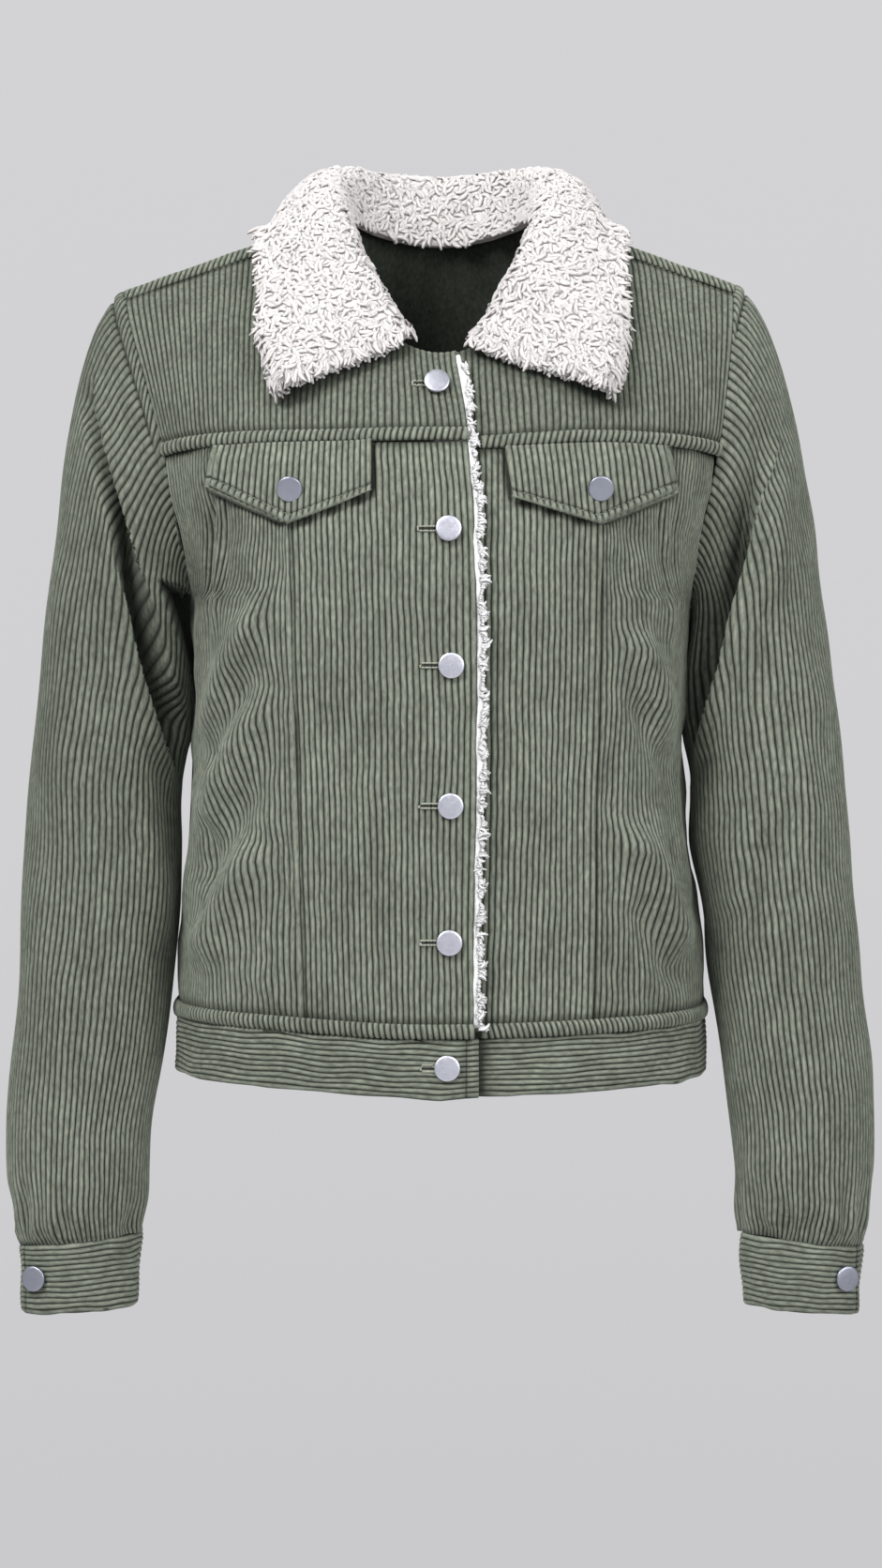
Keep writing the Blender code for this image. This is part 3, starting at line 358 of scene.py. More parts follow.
class JacketButtonSettings(bpy.types.PropertyGroup):
    """Sizes and colours of the buttons"""

    radius: FloatProperty(name="Radius", description="Radius of a button",
                          default=0.0078, min=0.005, max=0.012, unit="LENGTH", precision=5)
    depth: FloatProperty(name="Depth", description="How far a button stands off the cloth",
                         default=0.0028, min=0.001, max=0.004, unit="LENGTH", precision=5)
    front_colour: FloatVectorProperty(name="Front buttons", description="Colour of the metal of the front buttons",
                                      default=(0.7, 0.722, 0.8), size=3, min=0.0, max=1.0, subtype="COLOR")
    small_colour: FloatVectorProperty(name="Flap buttons", description="Colour of the metal of flap and cuff buttons",
                                      default=(0.4, 0.418, 0.49), size=3, min=0.0, max=1.0, subtype="COLOR")


class JacketStudioSettings(bpy.types.PropertyGroup):
    """Light and room of the studio"""

    surround: FloatProperty(name="Surround", description="Brightness of the pale room", default=0.65, min=0.0, max=2.0)
    ambient: FloatProperty(name="Ambient", description="Light that the room itself sheds", default=0.46,
                           min=0.0, max=2.0)
    key_power: FloatProperty(name="Key light", description="Power of the large light on the left in front",
                             default=138.0, min=0.0, max=500.0, unit="POWER")
    fill_power: FloatProperty(name="Fill light", description="Power of the soft light on the right",
                              default=79.0, min=0.0, max=500.0, unit="POWER")
    top_power: FloatProperty(name="Top light", description="Power of the light above and behind",
                             default=15.0, min=0.0, max=500.0, unit="POWER")
    floor_level: FloatProperty(name="Floor", description="Height of the floor, under a wearer's feet",
                               default=-1.45, min=-3.0, max=-0.8, unit="LENGTH")


# ---- small helpers
def blend(a, b, share):
    return a + (b - a) * share


def ease(value, start, end):
    """0 before start, 1 after end, smooth between."""
    share = np.clip((value - start) / (end - start), 0.0, 1.0)
    return share * share * (3.0 - 2.0 * share)


def bell(value, half_width):
    return np.exp(-(value / half_width) ** 2)


def unit(vectors):
    return vectors / np.maximum(np.linalg.norm(vectors, axis=-1, keepdims=True), 1e-12)


def along_table(table, values):
    """Straight lines through a table of two columns, whichever way it runs."""
    table = np.array(sorted(table))
    return np.interp(values, table[:, 0], table[:, 1])


def hermite(start, leaving, end, arriving, t):
    """A cubic from start to end with the given speeds at its ends."""
    return (start * (2 * t**3 - 3 * t**2 + 1) + leaving * (t**3 - 2 * t**2 + t)
            + end * (3 * t**2 - 2 * t**3) + arriving * (t**3 - t**2))


def column_curve(table, column):
    """A smooth function through one column of a table, over the table's first column."""
    knots = np.array([row[0] for row in table])
    values = np.array([row[column] for row in table])
    slopes = np.gradient(values, knots)

    def at(place):
        place = np.clip(place, knots[0], knots[-1])
        i = np.clip(np.searchsorted(knots, place) - 1, 0, len(knots) - 2)
        span = knots[i + 1] - knots[i]
        return hermite(values[i], slopes[i] * span, values[i + 1], slopes[i + 1] * span, (place - knots[i]) / span)

    return at


def even(count):
    """Even shares from 0 to 1."""
    return np.linspace(0.0, 1.0, count)


def round_turn(count):
    """Even angles all the way round."""
    return np.arange(count) / count * 2.0 * math.pi


def running(lengths):
    """Where each point of a line lies along it, from the lengths between its points."""
    return np.concatenate([[0.0], np.cumsum(lengths)])


def reach_along(points):
    return running(np.linalg.norm(np.diff(points, axis=0), axis=1))


def picked(places, knots, points):
    """Points of a line at given places, from its points at the knots."""
    return np.stack([np.interp(places, knots, points[:, k]) for k in range(3)], axis=1)


def flipped(*grids):
    """The grids with their columns in the other order."""
    return tuple(grid[:, ::-1] for grid in grids)


def normals_of(grid, closed=False):
    """Unit normals of a grid of points."""
    if closed:
        across = np.roll(grid, -1, axis=1) - np.roll(grid, 1, axis=1)
    else:
        across = np.gradient(grid, axis=1)
    return unit(np.cross(across, np.gradient(grid, axis=0)))


def raised(grid, height, closed=False):
    """The grid moved out along its normals."""
    return grid + normals_of(grid, closed) * height[:, :, None]


def unevenness(points, size, seed):
    """Soft lumps of about the given size, mostly between -1 and 1."""
    chance = np.random.default_rng(seed)
    total = np.zeros(points.shape[:-1])
    for _ in range(9):
        way = unit(chance.normal(size=3)) * (2.0 * math.pi / (size * chance.uniform(1.4, 3.0)))
        total = total + np.sin(points @ way + chance.uniform(0.0, 2.0 * math.pi))
    return total / 3.2


def distance_to_path(grid, path, sign=None):
    """Distance in the XZ plane to a path of points, and the share of the path at the nearest place.

    The path's x counts away from the centre line, towards sign or else to both sides.
    """
    x, z = np.abs(grid[:, :, 0]) if sign is None else grid[:, :, 0] * sign, grid[:, :, 2]
    points = np.array(path)
    lengths = running(np.hypot(*np.diff(points, axis=0).T))
    nearest = np.full(x.shape, np.inf)
    share = np.zeros(x.shape)
    for i in range(len(points) - 1):
        run = points[i + 1] - points[i]
        t = np.clip(((x - points[i, 0]) * run[0] + (z - points[i, 1]) * run[1]) / run.dot(run), 0.0, 1.0)
        far = np.hypot(x - points[i, 0] - t * run[0], z - points[i, 1] - t * run[1])
        closer = far < nearest
        nearest = np.where(closer, far, nearest)
        share = np.where(closer, (lengths[i] + t * (lengths[i + 1] - lengths[i])) / lengths[-1], share)
    return nearest, share


def wales(count, closed=False):
    """Shares across a number of wales, and the height of the pile at each."""
    places = (np.arange(count)[:, None] + WALE_PLACES).ravel() / count
    pile = np.tile(WALE_PILE, count)
    if closed:
        return places, pile
    return np.append(places, 1.0), np.append(pile, 0.0)


def wale_count(width):
    return max(2, round(width / bpy.context.scene.jacket_cloth.wale_pitch))


def swayed(grid, amount, seed, closed=False):
    """The grid with its wales wandering a little to the side, as the cloth is cut and sewn by hand."""
    if closed:
        across = unit(np.roll(grid, -1, axis=1) - np.roll(grid, 1, axis=1))
        held = 1.0
    else:
        across = unit(np.gradient(grid, axis=1))
        place = even(grid.shape[1])
        held = ease(place, 0.0, 0.12) * (1.0 - ease(place, 0.88, 1.0))
    shift = unevenness(grid * (1.0, 1.0, 0.45), 0.022, seed) * 0.7 + unevenness(grid, 0.01, seed + 1) * 0.3
    return grid + across * (amount * shift * held)[:, :, None]


def lumpy(grid, depth, size, seed):
    """The grid with soft unevenness along its normals."""
    return raised(grid, unevenness(grid, size, seed) * depth)


def folded(grid, folds, sign, face):
    """The grid with folds pressed in, and its wales bent where they run over them."""
    normal = normals_of(grid)
    shift = np.zeros(grid.shape[:2])
    aside = np.zeros(grid.shape[:2])
    place = even(grid.shape[1])
    held = ease(place, 0.0, 0.18) * (1.0 - ease(place, 0.82, 1.0))
    for depth, half_width, sway, path in folds:
        far, share = distance_to_path(grid, path, sign)
        fade = ease(share, 0.0, 0.25) * (1.0 - ease(share, 0.8, 1.0))
        facing = ease(normal[:, :, 1] * face, 0.15, 0.6)
        press = bell(far, half_width) * fade * facing * held
        shift += depth * press
        aside += sway * press
    grid = grid + normal * shift[:, :, None]
    grid[:, :, 0] += aside * sign
    return grid


# ---- the torso's surface
half_width_at = column_curve(TORSO, 1)
depth_at = {FRONT: column_curve(TORSO, 2), BACK: column_curve(TORSO, 3)}
front_edge_at = column_curve(FRONT_EDGE, 1)


def armhole_depth(z, face):
    """How far the armhole's edge lies in front of, or behind, the side seam's line."""
    below = np.clip((ARMHOLE_LEVEL - z) / (ARMHOLE_LEVEL - ARMHOLE_BOTTOM), 0.0, 1.0)
    return ARMHOLE_DEPTH[face] * math.sqrt(1.0 - below**2)


def half_section(z, face):
    """A level of the torso from the centre line to the side seam or armhole: length along it, x and y."""
    depth = depth_at[face](z)
    edge = armhole_depth(z, face) / depth
    width = half_width_at(z) / (1.0 - edge**SQUARENESS) ** (1.0 / SQUARENESS)
    turn = np.linspace(0.0, math.acos(edge ** (SQUARENESS / 2.0)), 160)
    x = width * np.sin(turn) ** (2.0 / SQUARENESS)
    y = face * depth * np.maximum(np.cos(turn), 0.0) ** (2.0 / SQUARENESS)
    return running(np.hypot(np.diff(x), np.diff(y))), x, y


def girth(z, face):
    return half_section(z, face)[0][-1]


def length_at(z, x):
    """Length along the front from the centre line to a given x."""
    along, xs, _ = half_section(z, FRONT)
    return float(np.interp(x, xs, along))


def level_points(z, face, sign, along):
    """Points of one level at given lengths from the centre line, which are below 0 past it."""
    lengths, xs, ys = half_section(z, face)
    reach = np.abs(along)
    x = np.interp(reach, lengths, xs)
    if sign > 0:
        x = x * (1.0 - DRAWN_IN * (x / xs[-1]) ** 4 * bell(z + 0.355, 0.06))
    x = x * np.sign(along) * sign
    return np.stack([x, np.interp(reach, lengths, ys), np.full(len(along), z)], axis=1)


def yoke_rise(share, sign):
    """How far the yoke's lower edge lies above its level, at a share of the way from the centre line to the side."""
    sag = YOKE_SAG * (1.0 - ease(share, 0.02, 0.55)) if sign > 0 else 0.0
    return YOKE_RISE * (1.0 - share**6) - sag


def hem_rise(share, sign):
    """How far the hem of a front lies above its level, at shares of the way from its centre to its side."""
    return HEM_RAISED[sign] * ease(share, 0.08, 0.5) * (1.0 - ease(share, 0.78, 1.0)) - HEM_DIP * (1.0 - share**2)


def lower_part(face, sign, start, end, shares, heights):
    """Rows of the torso between the hem and the yoke. start and end give lengths from the centre line at a height."""
    rows = []
    for v in heights:
        z = blend(HEM_LEVEL, YOKE_LEVEL, v)
        along = blend(start(z), end(z), shares)
        points = level_points(z, face, sign, along)
        if face == FRONT:
            share = np.abs(along) / girth(z, face)
            points[:, 2] += blend(hem_rise(share, sign), yoke_rise(share, sign), v)
        rows.append(points)
    return np.array(rows)


def top_line(face, side, x):
    """The neckline and shoulder seam at distances x from the centre line, and how far from the neck's end each is."""
    shoulder_x, shoulder_z = SHAPE[side]["shoulder"]
    reach = np.abs(x)
    inside = np.sqrt(1.0 - np.clip(reach / NECK_HALF, 0.0, 1.0) ** 2)
    outside = np.clip((reach - NECK_HALF) / (shoulder_x - NECK_HALF), 0.0, 1.0)
    if face == FRONT:
        y = blend(SHOULDER_Y, NECK_FRONT, inside)
        z = SHOULDER_NECK_Z - NECK_DROP * inside**1.25
    else:
        y = blend(SHOULDER_Y, NAPE[0], inside)
        z = blend(SHOULDER_NECK_Z, NAPE[1], inside**2) + NAPE[2] * inside * (1.0 - inside)
    z = z + (shoulder_z - SHOULDER_NECK_Z) * outside
    y = y + face * SHOULDER_SEAM / 2.0
    return np.stack([x * SIGN[side], y, z], axis=1), inside


def upper_part(face, side, along, heights, top_x=None):
    """Columns from the yoke's lower edge up to the neckline and shoulder seam, which they meet at top_x."""
    sign = SIGN[side]
    z = YOKE_LEVEL
    whole = girth(z, face)
    if top_x is None:
        top_x = along * SHAPE[side]["shoulder"][0] / whole
    foot = level_points(z, face, sign, along)
    narrower = 1.0
    if face == BACK:
        # the wales run on without a bend, except beside the armholes
        narrower = blend(girth(z - 0.008, face) / whole, 1.0, ease(np.abs(along) / whole, 0.8, 0.97))
    below = level_points(z - 0.008, face, sign, along * narrower)
    leaving = unit(foot - below)
    if face == FRONT:
        foot[:, 2] += yoke_rise(np.abs(along) / whole, sign)
    head, inside = top_line(face, side, top_x)
    neck_way = {FRONT: (0.0, 0.55, 0.84), BACK: (0.0, -0.4, 0.92)}[face]
    shoulder_way = {FRONT: (0.0, 0.8, 0.6), BACK: (0.0, -0.94, -0.34)}[face]
    shoulder_speed = {FRONT: 0.9, BACK: 0.5}[face]
    share = inside[:, None]
    arriving = blend(np.array(shoulder_way) * shoulder_speed, np.array(neck_way) * 0.8, share)
    span = np.linalg.norm(head - foot, axis=1, keepdims=True)
    rows = []
    for t in heights:
        if face == FRONT:
            t = t * blend(COLUMN / span, 1.0, ease(t, 0.08, 0.45))
        rows.append(hermite(foot, leaving * span * 0.9, head, arriving * span, t))
    return np.array(rows)


def lap_lift(x):
    """How far the upper (left) front stands off the form at a given x."""
    return LAP_LIFT * ease(x, LAP_START, LAP_FULL)


def lapped(grid, side):
    """The upper front lifted over the lower one."""
    if side != "left":
        return grid
    return grid + unit(normals_of(grid) * (1.0, 1.0, 0.15)) * lap_lift(grid[:, :, 0])[:, :, None]


def beside_flap(grid, side):
    """How near each point of a front is to the flap's edge, where the cloth is pressed in and painted shadow is laid.
    """
    far, _ = distance_to_path(grid, flap_corners(side))
    return bell(far, 0.0019)


def below_collar(grid, side):
    """1 on the cloth that the collar's lower edge shades, 0 away from it."""
    gone, _ = distance_to_path(grid, COLLAR_EDGE[side], SIGN[side])
    return bell(gone, 0.0085)


def front_start(side):
    """Length at which a front begins, past the centre line."""
    if side == "left":
        return lambda z: -float(front_edge_at(z))
    return lambda z: -UNDERLAP


def princess_length(side, z):
    """Length from the centre line to the seam between centre and side panel."""
    bottom, top = SHAPE[side]["princess"]
    return length_at(z, blend(bottom, top, (z - HEM_LEVEL) / BODY_HEIGHT))


def front_point(x, z):
    """A point of the front's form at a given x and height, below or above the yoke's lower edge."""
    side = "left" if x < 0.0 else "right"
    low, high = HEM_LEVEL - HEM_DIP, YOKE_LEVEL + YOKE_RISE
    if z <= high:
        level = blend(HEM_LEVEL, YOKE_LEVEL, (z - low) / (high - low))
        along = length_at(level, abs(x))
        y = level_points(level, FRONT, SIGN[side], np.array([along]))[0][1]
        return np.array([x, y, z])
    along = abs(x) * girth(YOKE_LEVEL, FRONT) / SHAPE[side]["shoulder"][0]
    column = upper_part(FRONT, side, np.array([along]), even(60))[:, 0]
    return np.array([x, np.interp(z, column[:, 2], column[:, 1]), z])


# ---- materials
def add_node(tree, kind, inputs=(), **settings):
    """A node with its settings, and its inputs set or linked."""
    made = tree.nodes.new(kind)
    for key, value in settings.items():
        setattr(made, key, value)
    for key, value in dict(inputs).items():
        if isinstance(value, bpy.types.NodeSocket):
            tree.links.new(value, made.inputs[key])
        else:
            made.inputs[key].default_value = value
    return made


def new_material(name):
    made = bpy.data.materials.new(name)
    made.use_nodes = True
    return made, made.node_tree, made.node_tree.nodes["Principled BSDF"]


def object_place(tree):
    return add_node(tree, "ShaderNodeTexCoord").outputs["Object"]


def noted(tree, name, output="Fac"):
    """A value that is kept for each point of a mesh."""
    return add_node(tree, "ShaderNodeAttribute", attribute_name=name).outputs[output]


def add_bump(tree, shader, height, strength, distance, more=()):
    """Fine relief in the shader's normal."""
    inputs = {"Height": height, "Strength": strength, "Distance": distance, **dict(more)}
    tree.links.new(add_node(tree, "ShaderNodeBump", inputs).outputs["Normal"], shader.inputs["Normal"])


def colour_ramp(tree, factor, stops):
    ramp = add_node(tree, "ShaderNodeValToRGB", {"Fac": factor})
    elements = ramp.color_ramp.elements
    while len(elements) < len(stops):
        elements.new(0.5)
    for element, (place, colour) in zip(elements, stops):
        element.position = place
        element.color = (*colour, 1.0)
    return ramp.outputs["Color"]


def scaled(tree, colour, factor):
    """A colour times a factor from a node."""
    mix = add_node(tree, "ShaderNodeVectorMath", {0: colour, 1: factor}, operation="MULTIPLY")
    return mix.outputs["Vector"]


def spread_noise(tree, place, scale, low, high, detail=2.0, stretch=(1.0, 1.0, 1.0)):
    """Noise mapped to between low and high."""
    mapping = add_node(tree, "ShaderNodeMapping", {"Vector": place, "Scale": stretch})
    noise = add_node(tree, "ShaderNodeTexNoise", {"Vector": mapping.outputs["Vector"], "Scale": scale,
                                                  "Detail": detail})
    fit = add_node(tree, "ShaderNodeMapRange", {"Value": noise.outputs["Fac"], "From Min": 0.3, "From Max": 0.7,
                                                "To Min": low, "To Max": high})
    return fit.outputs["Result"]


def corduroy_material(name, stretch):
    """Ribbed nap: grooves of dark ground deepened by painted shade, paler crests, flecks in the pile, slow patches of
    wear.
    """
    cloth = bpy.context.scene.jacket_cloth
    made, tree, shader = new_material(name)
    place = object_place(tree)
    pile = noted(tree, "pile")
    crest, groove = np.array(cloth.crest_colour), np.array(cloth.groove_colour)
    colour = colour_ramp(tree, pile, ((0.0, groove), (0.45, blend(groove, crest, 0.18)),
                                      (0.8, blend(groove, crest, 0.68)), (1.0, crest)))
    colour = scaled(tree, colour, spread_noise(tree, place, 9.0, 0.92, 1.08))
    colour = scaled(tree, colour, spread_noise(tree, place, 85.0, 0.87, 1.13, stretch=stretch))
    flecks = spread_noise(tree, place, 480.0, 0.7, 1.34, detail=4.0, stretch=stretch)
    tree.links.new(scaled(tree, colour, flecks), shader.inputs["Base Color"])
    add_bump(tree, shader, flecks, 0.35, 0.0005)
    shader.inputs["Roughness"].default_value = 0.92
    shader.inputs["Specular IOR Level"].default_value = 0.15
    shader.inputs["Sheen Weight"].default_value = 0.22
    shader.inputs["Sheen Roughness"].default_value = 0.45
    shader.inputs["Sheen Tint"].default_value = (0.72, 0.78, 0.68, 1.0)
    return made


def pile_material(name, whiter=(1.0, 1.0, 1.0)):
    """Curled pile, warm between the curls and white at their tips."""
    settings = bpy.context.scene.jacket_pile
    made, tree, shader = new_material(name)
    place = object_place(tree)
    tip = noted(tree, "pile")
    root, end = np.array(settings.root_colour) * whiter, np.array(settings.tip_colour) * whiter
    colour = colour_ramp(tree, tip, ((0.0, root), (0.5, blend(root, end, 0.7)), (1.0, end)))
    colour = scaled(tree, colour, spread_noise(tree, place, 60.0, 0.96, 1.03))
    tree.links.new(scaled(tree, colour, spread_noise(tree, place, 900.0, 0.94, 1.05)), shader.inputs["Base Color"])
    fibre = spread_noise(tree, place, 1400.0, 0.0, 1.0, detail=3.0)
    # the light that curls pass on to each other: their faces lean towards the way the whole pile faces
    out = noted(tree, "out", "Vector")
    own = add_node(tree, "ShaderNodeNewGeometry").outputs["Normal"]
    both = add_node(tree, "ShaderNodeVectorMath", {0: out, 1: (4.5, 4.5, 4.5), 2: own}, operation="MULTIPLY_ADD")
    lean = add_node(tree, "ShaderNodeVectorMath", {0: both.outputs["Vector"]}, operation="NORMALIZE")
    add_bump(tree, shader, fibre, 0.2, 0.0004, {"Normal": lean.outputs["Vector"]})
    shader.inputs["Roughness"].default_value = 0.95
    shader.inputs["Specular IOR Level"].default_value = 0.1
    shader.inputs["Subsurface Weight"].default_value = 0.45
    shader.inputs["Subsurface Radius"].default_value = (1.0, 0.9, 0.85)
    shader.inputs["Subsurface Scale"].default_value = 0.003
    return made


def metal_material(name, colour):
    """Satin metal with faint turning marks and a little wear."""
    made, tree, shader = new_material(name)
    place = object_place(tree)
    shade = noted(tree, "pile")
    # the pile attribute darkens the metal as painted shade: down each button's side, and for buttons that catch less
    # light
    base = colour_ramp(tree, shade, ((0.0, np.array(colour) * 0.25), (1.0, colour)))
    tree.links.new(scaled(tree, base, spread_noise(tree, place, 260.0, 0.97, 1.03)), shader.inputs["Base Color"])
    tree.links.new(spread_noise(tree, place, 700.0, 0.34, 0.46, detail=4.0), shader.inputs["Roughness"])
    brushed = spread_noise(tree, place, 1500.0, 0.0, 1.0, stretch=(1.0, 1.0, 6.0))
    add_bump(tree, shader, brushed, 0.06, 0.0002)
    shader.inputs["Metallic"].default_value = 1.0
    return made


def thread_material(name):
    """Twisted sewing thread, a little paler than the cloth."""
    made, tree, shader = new_material(name)
    place = object_place(tree)
    colour = np.array(bpy.context.scene.jacket_cloth.thread_colour)
    twist = spread_noise(tree, place, 1600.0, 0.0, 1.0)
    shade = noted(tree, "pile")
    twisted = colour_ramp(tree, twist, ((0.0, colour * 0.55), (1.0, colour)))
    tree.links.new(scaled(tree, twisted, shade), shader.inputs["Base Color"])
    shader.inputs["Roughness"].default_value = 0.85
    return made


MATERIALS = {
    "corduroy": lambda name: corduroy_material(name, (1.0, 1.0, 0.4)),
    "corduroy_across": lambda name: corduroy_material(name, (0.4, 0.4, 1.0)),
    "pile": pile_material,
    # The facing's pile is the collar's pile made whiter: partly a cooler white of its own, partly painted light where
    # it sits in the lap's shade.
    "edge_pile": lambda name: pile_material(name, (1.36, 1.4, 1.43)),
    "front_metal": lambda name: metal_material(name, bpy.context.scene.jacket_button.front_colour),
    "small_metal": lambda name: metal_material(name, bpy.context.scene.jacket_button.small_colour),
    "thread": thread_material,
}


def finish_of(kind):
    name = f"jacket_{kind}"
    return bpy.data.materials.get(name) or MATERIALS[kind](name)


# ---- making pieces
def placed(name, data):
    """A new object in the scene."""
    made = bpy.data.objects.new(name, data)
    bpy.context.scene.collection.objects.link(made)
    return made


def add_piece(name, points, faces, pile, kind, replaces=(), flat_faces=0):
    """An object of the jacket, which rides on it. The last flat_faces faces are left with sharp edges."""
    mesh = bpy.data.meshes.new(name)
    mesh.from_pydata(points.reshape(-1, 3).tolist(), [], faces)
    smooth = np.ones(len(faces), dtype=bool)
    if flat_faces:
        smooth[-flat_faces:] = False
    mesh.polygons.foreach_set("use_smooth", smooth)
    # The pile attribute sets each point's tone: the wales' pile, times painted shade wherever a piece paints it in.
    shade = mesh.attributes.new("pile", "FLOAT", "POINT")
    shade.data.foreach_set("value", np.broadcast_to(pile, len(mesh.vertices)).astype(np.float32))
    mesh.materials.append(finish_of(kind))
    piece = placed(name, mesh)
    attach(piece, "root")
    if replaces:
        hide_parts(*replaces)
    return piece


def set_out(piece, outs):
    """Notes for each point of a piece of curls the way that the pile under it faces."""
    ways = piece.data.attributes.new("out", "FLOAT_VECTOR", "POINT")
    ways.data.foreach_set("vector", np.asarray(outs, dtype=np.float32).ravel())


def steps(count, every):
    """Indices from 0 to count - 1, every so many, always with the last."""
    return np.array([*range(0, count - 1, every), count - 1])


def cloth_piece(name, grid, pile, thickness, closed=False, every=(1, 4), kind="corduroy", replaces=(), relief=None):
    """A wall of cloth whose outer face carries wales. Its inner face is coarser by the given steps."""
    if relief is None:
        relief = bpy.context.scene.jacket_cloth.wale_depth
    pile = np.broadcast_to(pile, grid.shape[:2])
    normal = normals_of(grid, closed)
    outer = grid + normal * (relief * (pile - 0.6))[:, :, None]
    rows, columns = grid.shape[:2]
    in_rows = steps(rows, every[0])
    in_columns = np.arange(0, columns, every[1]) if closed else steps(columns, every[1])
    inner = (grid - normal * thickness)[np.ix_(in_rows, in_columns)]
    faces = quads(rows, columns, 0, closed) + quads(len(in_rows), len(in_columns), rows * columns, closed, True)
    before = len(faces)
    base, last = rows * columns, rows - 1
    inside = lambda r, c: base + r * len(in_columns) + c
    ends = list(range(len(in_columns) if closed else len(in_columns) - 1))
    for c in ends:
        d = (c + 1) % len(in_columns)
        run = list(range(in_columns[c], columns + 1 if closed and d == 0 else in_columns[d] + 1))
        run = [i % columns for i in run]
        faces.append((run[0], inside(0, c), inside(0, d), *run[:0:-1]))
        top = [last * columns + i for i in run]
        faces.append((*top, inside(len(in_rows) - 1, d), inside(len(in_rows) - 1, c)))
    if not closed:
        for r in range(len(in_rows) - 1):
            run = [i * columns for i in range(in_rows[r], in_rows[r + 1] + 1)]
            faces.append((*run, inside(r + 1, 0), inside(r, 0)))
            run = [i + columns - 1 for i in run]
            side = len(in_columns) - 1
            faces.append((run[0], inside(r, side), inside(r + 1, side), *run[:0:-1]))
    points = np.concatenate([outer.reshape(-1, 3), inner.reshape(-1, 3)])
    shade = np.concatenate([pile.ravel(), np.full(inner.shape[0] * inner.shape[1], GROOVE_SHADE)])
    return add_piece(name, points, faces, shade, kind, replaces, len(faces) - before)


def quads(rows, columns, base, closed=False, reverse=False):
    """Faces of a grid of points that starts at a base index."""
    r, c = np.meshgrid(np.arange(rows - 1), np.arange(columns if closed else columns - 1), indexing="ij")
    right = (c + 1) % columns
    corners = [r * columns + c, r * columns + right, (r + 1) * columns + right, (r + 1) * columns + c]
    if reverse:
        corners = corners[::-1]
    return [tuple(face) for face in (base + np.stack([part.ravel() for part in corners], axis=1)).tolist()]


def sewn(name, grid, pile, thickness=None, closed=False, **form):
    """A wall of cloth that is declared as a sheet."""
    thickness = thickness or bpy.context.scene.jacket_cloth.thickness
    declare_cloth(cloth_piece(name, grid, pile, thickness, closed, **form), grid, closed)


def declare_cloth(piece, grid, closed=False):
    """Declares a sheet with the size of its cut, measured on the form that it was sewn to."""
    across = np.linalg.norm(np.diff(grid, axis=1), axis=2).sum(axis=1)
    if closed:
        across += np.linalg.norm(grid[:, 0] - grid[:, -1], axis=1)
    up = np.linalg.norm(np.diff(grid, axis=0), axis=2).sum(axis=0)
    edge_a = (grid[1:, 1:] - grid[:-1, :-1]).reshape(-1, 3)
    edge_b = (grid[1:, :-1] - grid[:-1, 1:]).reshape(-1, 3)
    area = np.linalg.norm(np.cross(edge_a, edge_b), axis=1).sum() / 2.0
    if closed:
        area *= grid.shape[1] / (grid.shape[1] - 1.0)
    width, length = float(across.max()), float(up.max())
    area = min(float(area), width * length)
    print(f"cut {piece.name}: {width:.3f} x {length:.3f} m, {area:.4f} m2")


def roll_of_cloth(name, lines, slant, bulge, pitch, flat_ends):
    """A rolled seam over rows of dense points, with short wales that cross it at a slant, flatter at its ends."""
    out = normals_of(lines)
    length = np.linalg.norm(np.diff(lines[0], axis=0), axis=1).sum()
    count = max(4, round(length / pitch))
    shares = np.append((np.arange(count)[:, None] + STRIP_PLACES).ravel() / count, 1.0)
    pile = np.append(np.tile(WALE_PILE, count), 0.0)
    pile[0] = pile[-1] = 0.7
    dense, levels = even(lines.shape[1]), even(lines.shape[0])
    inside = ease(shares, 0.0, 0.02) * (1 - ease(shares, 0.98, 1.0))
    turns = np.linspace(0.0, math.pi, ROLL_ROWS)
    rows = []
    for turn in turns:
        across = (1.0 - math.cos(turn)) / 2.0
        at = np.clip(shares + slant * (across - 0.5) / length * inside, 0, 1)
        level, away = (np.concatenate([picked([across], levels, grid[:, i]) for i in range(len(dense))])
                       for grid in (lines, out))
        point, lift = picked(at, dense, level), unit(picked(at, dense, away))
        plump = 1.0 + 0.1 * unevenness(point, 0.012, 71)
        plump = plump * (1.0 - flat_ends[0] * (1.0 - ease(shares * length, 0.0, ROLL_TAPER)))
        plump = plump * (1.0 - flat_ends[1] * ease(shares * length, length - ROLL_TAPER, length))
        rows.append(point + lift * (bulge * math.sin(turn) ** 0.8 * plump - ROLL_SINK)[:, None])
    # Painted shade: the colour darkens towards both edges of the roll, where it turns into the cloth.
    tone_and_shade = np.clip(np.sin(turns) * 2.0 + 0.15, 0.0, 1.0)
    sewn(name, np.array(rows), pile[None, :] * tone_and_shade[:, None], 0.0012, every=(2, 4))


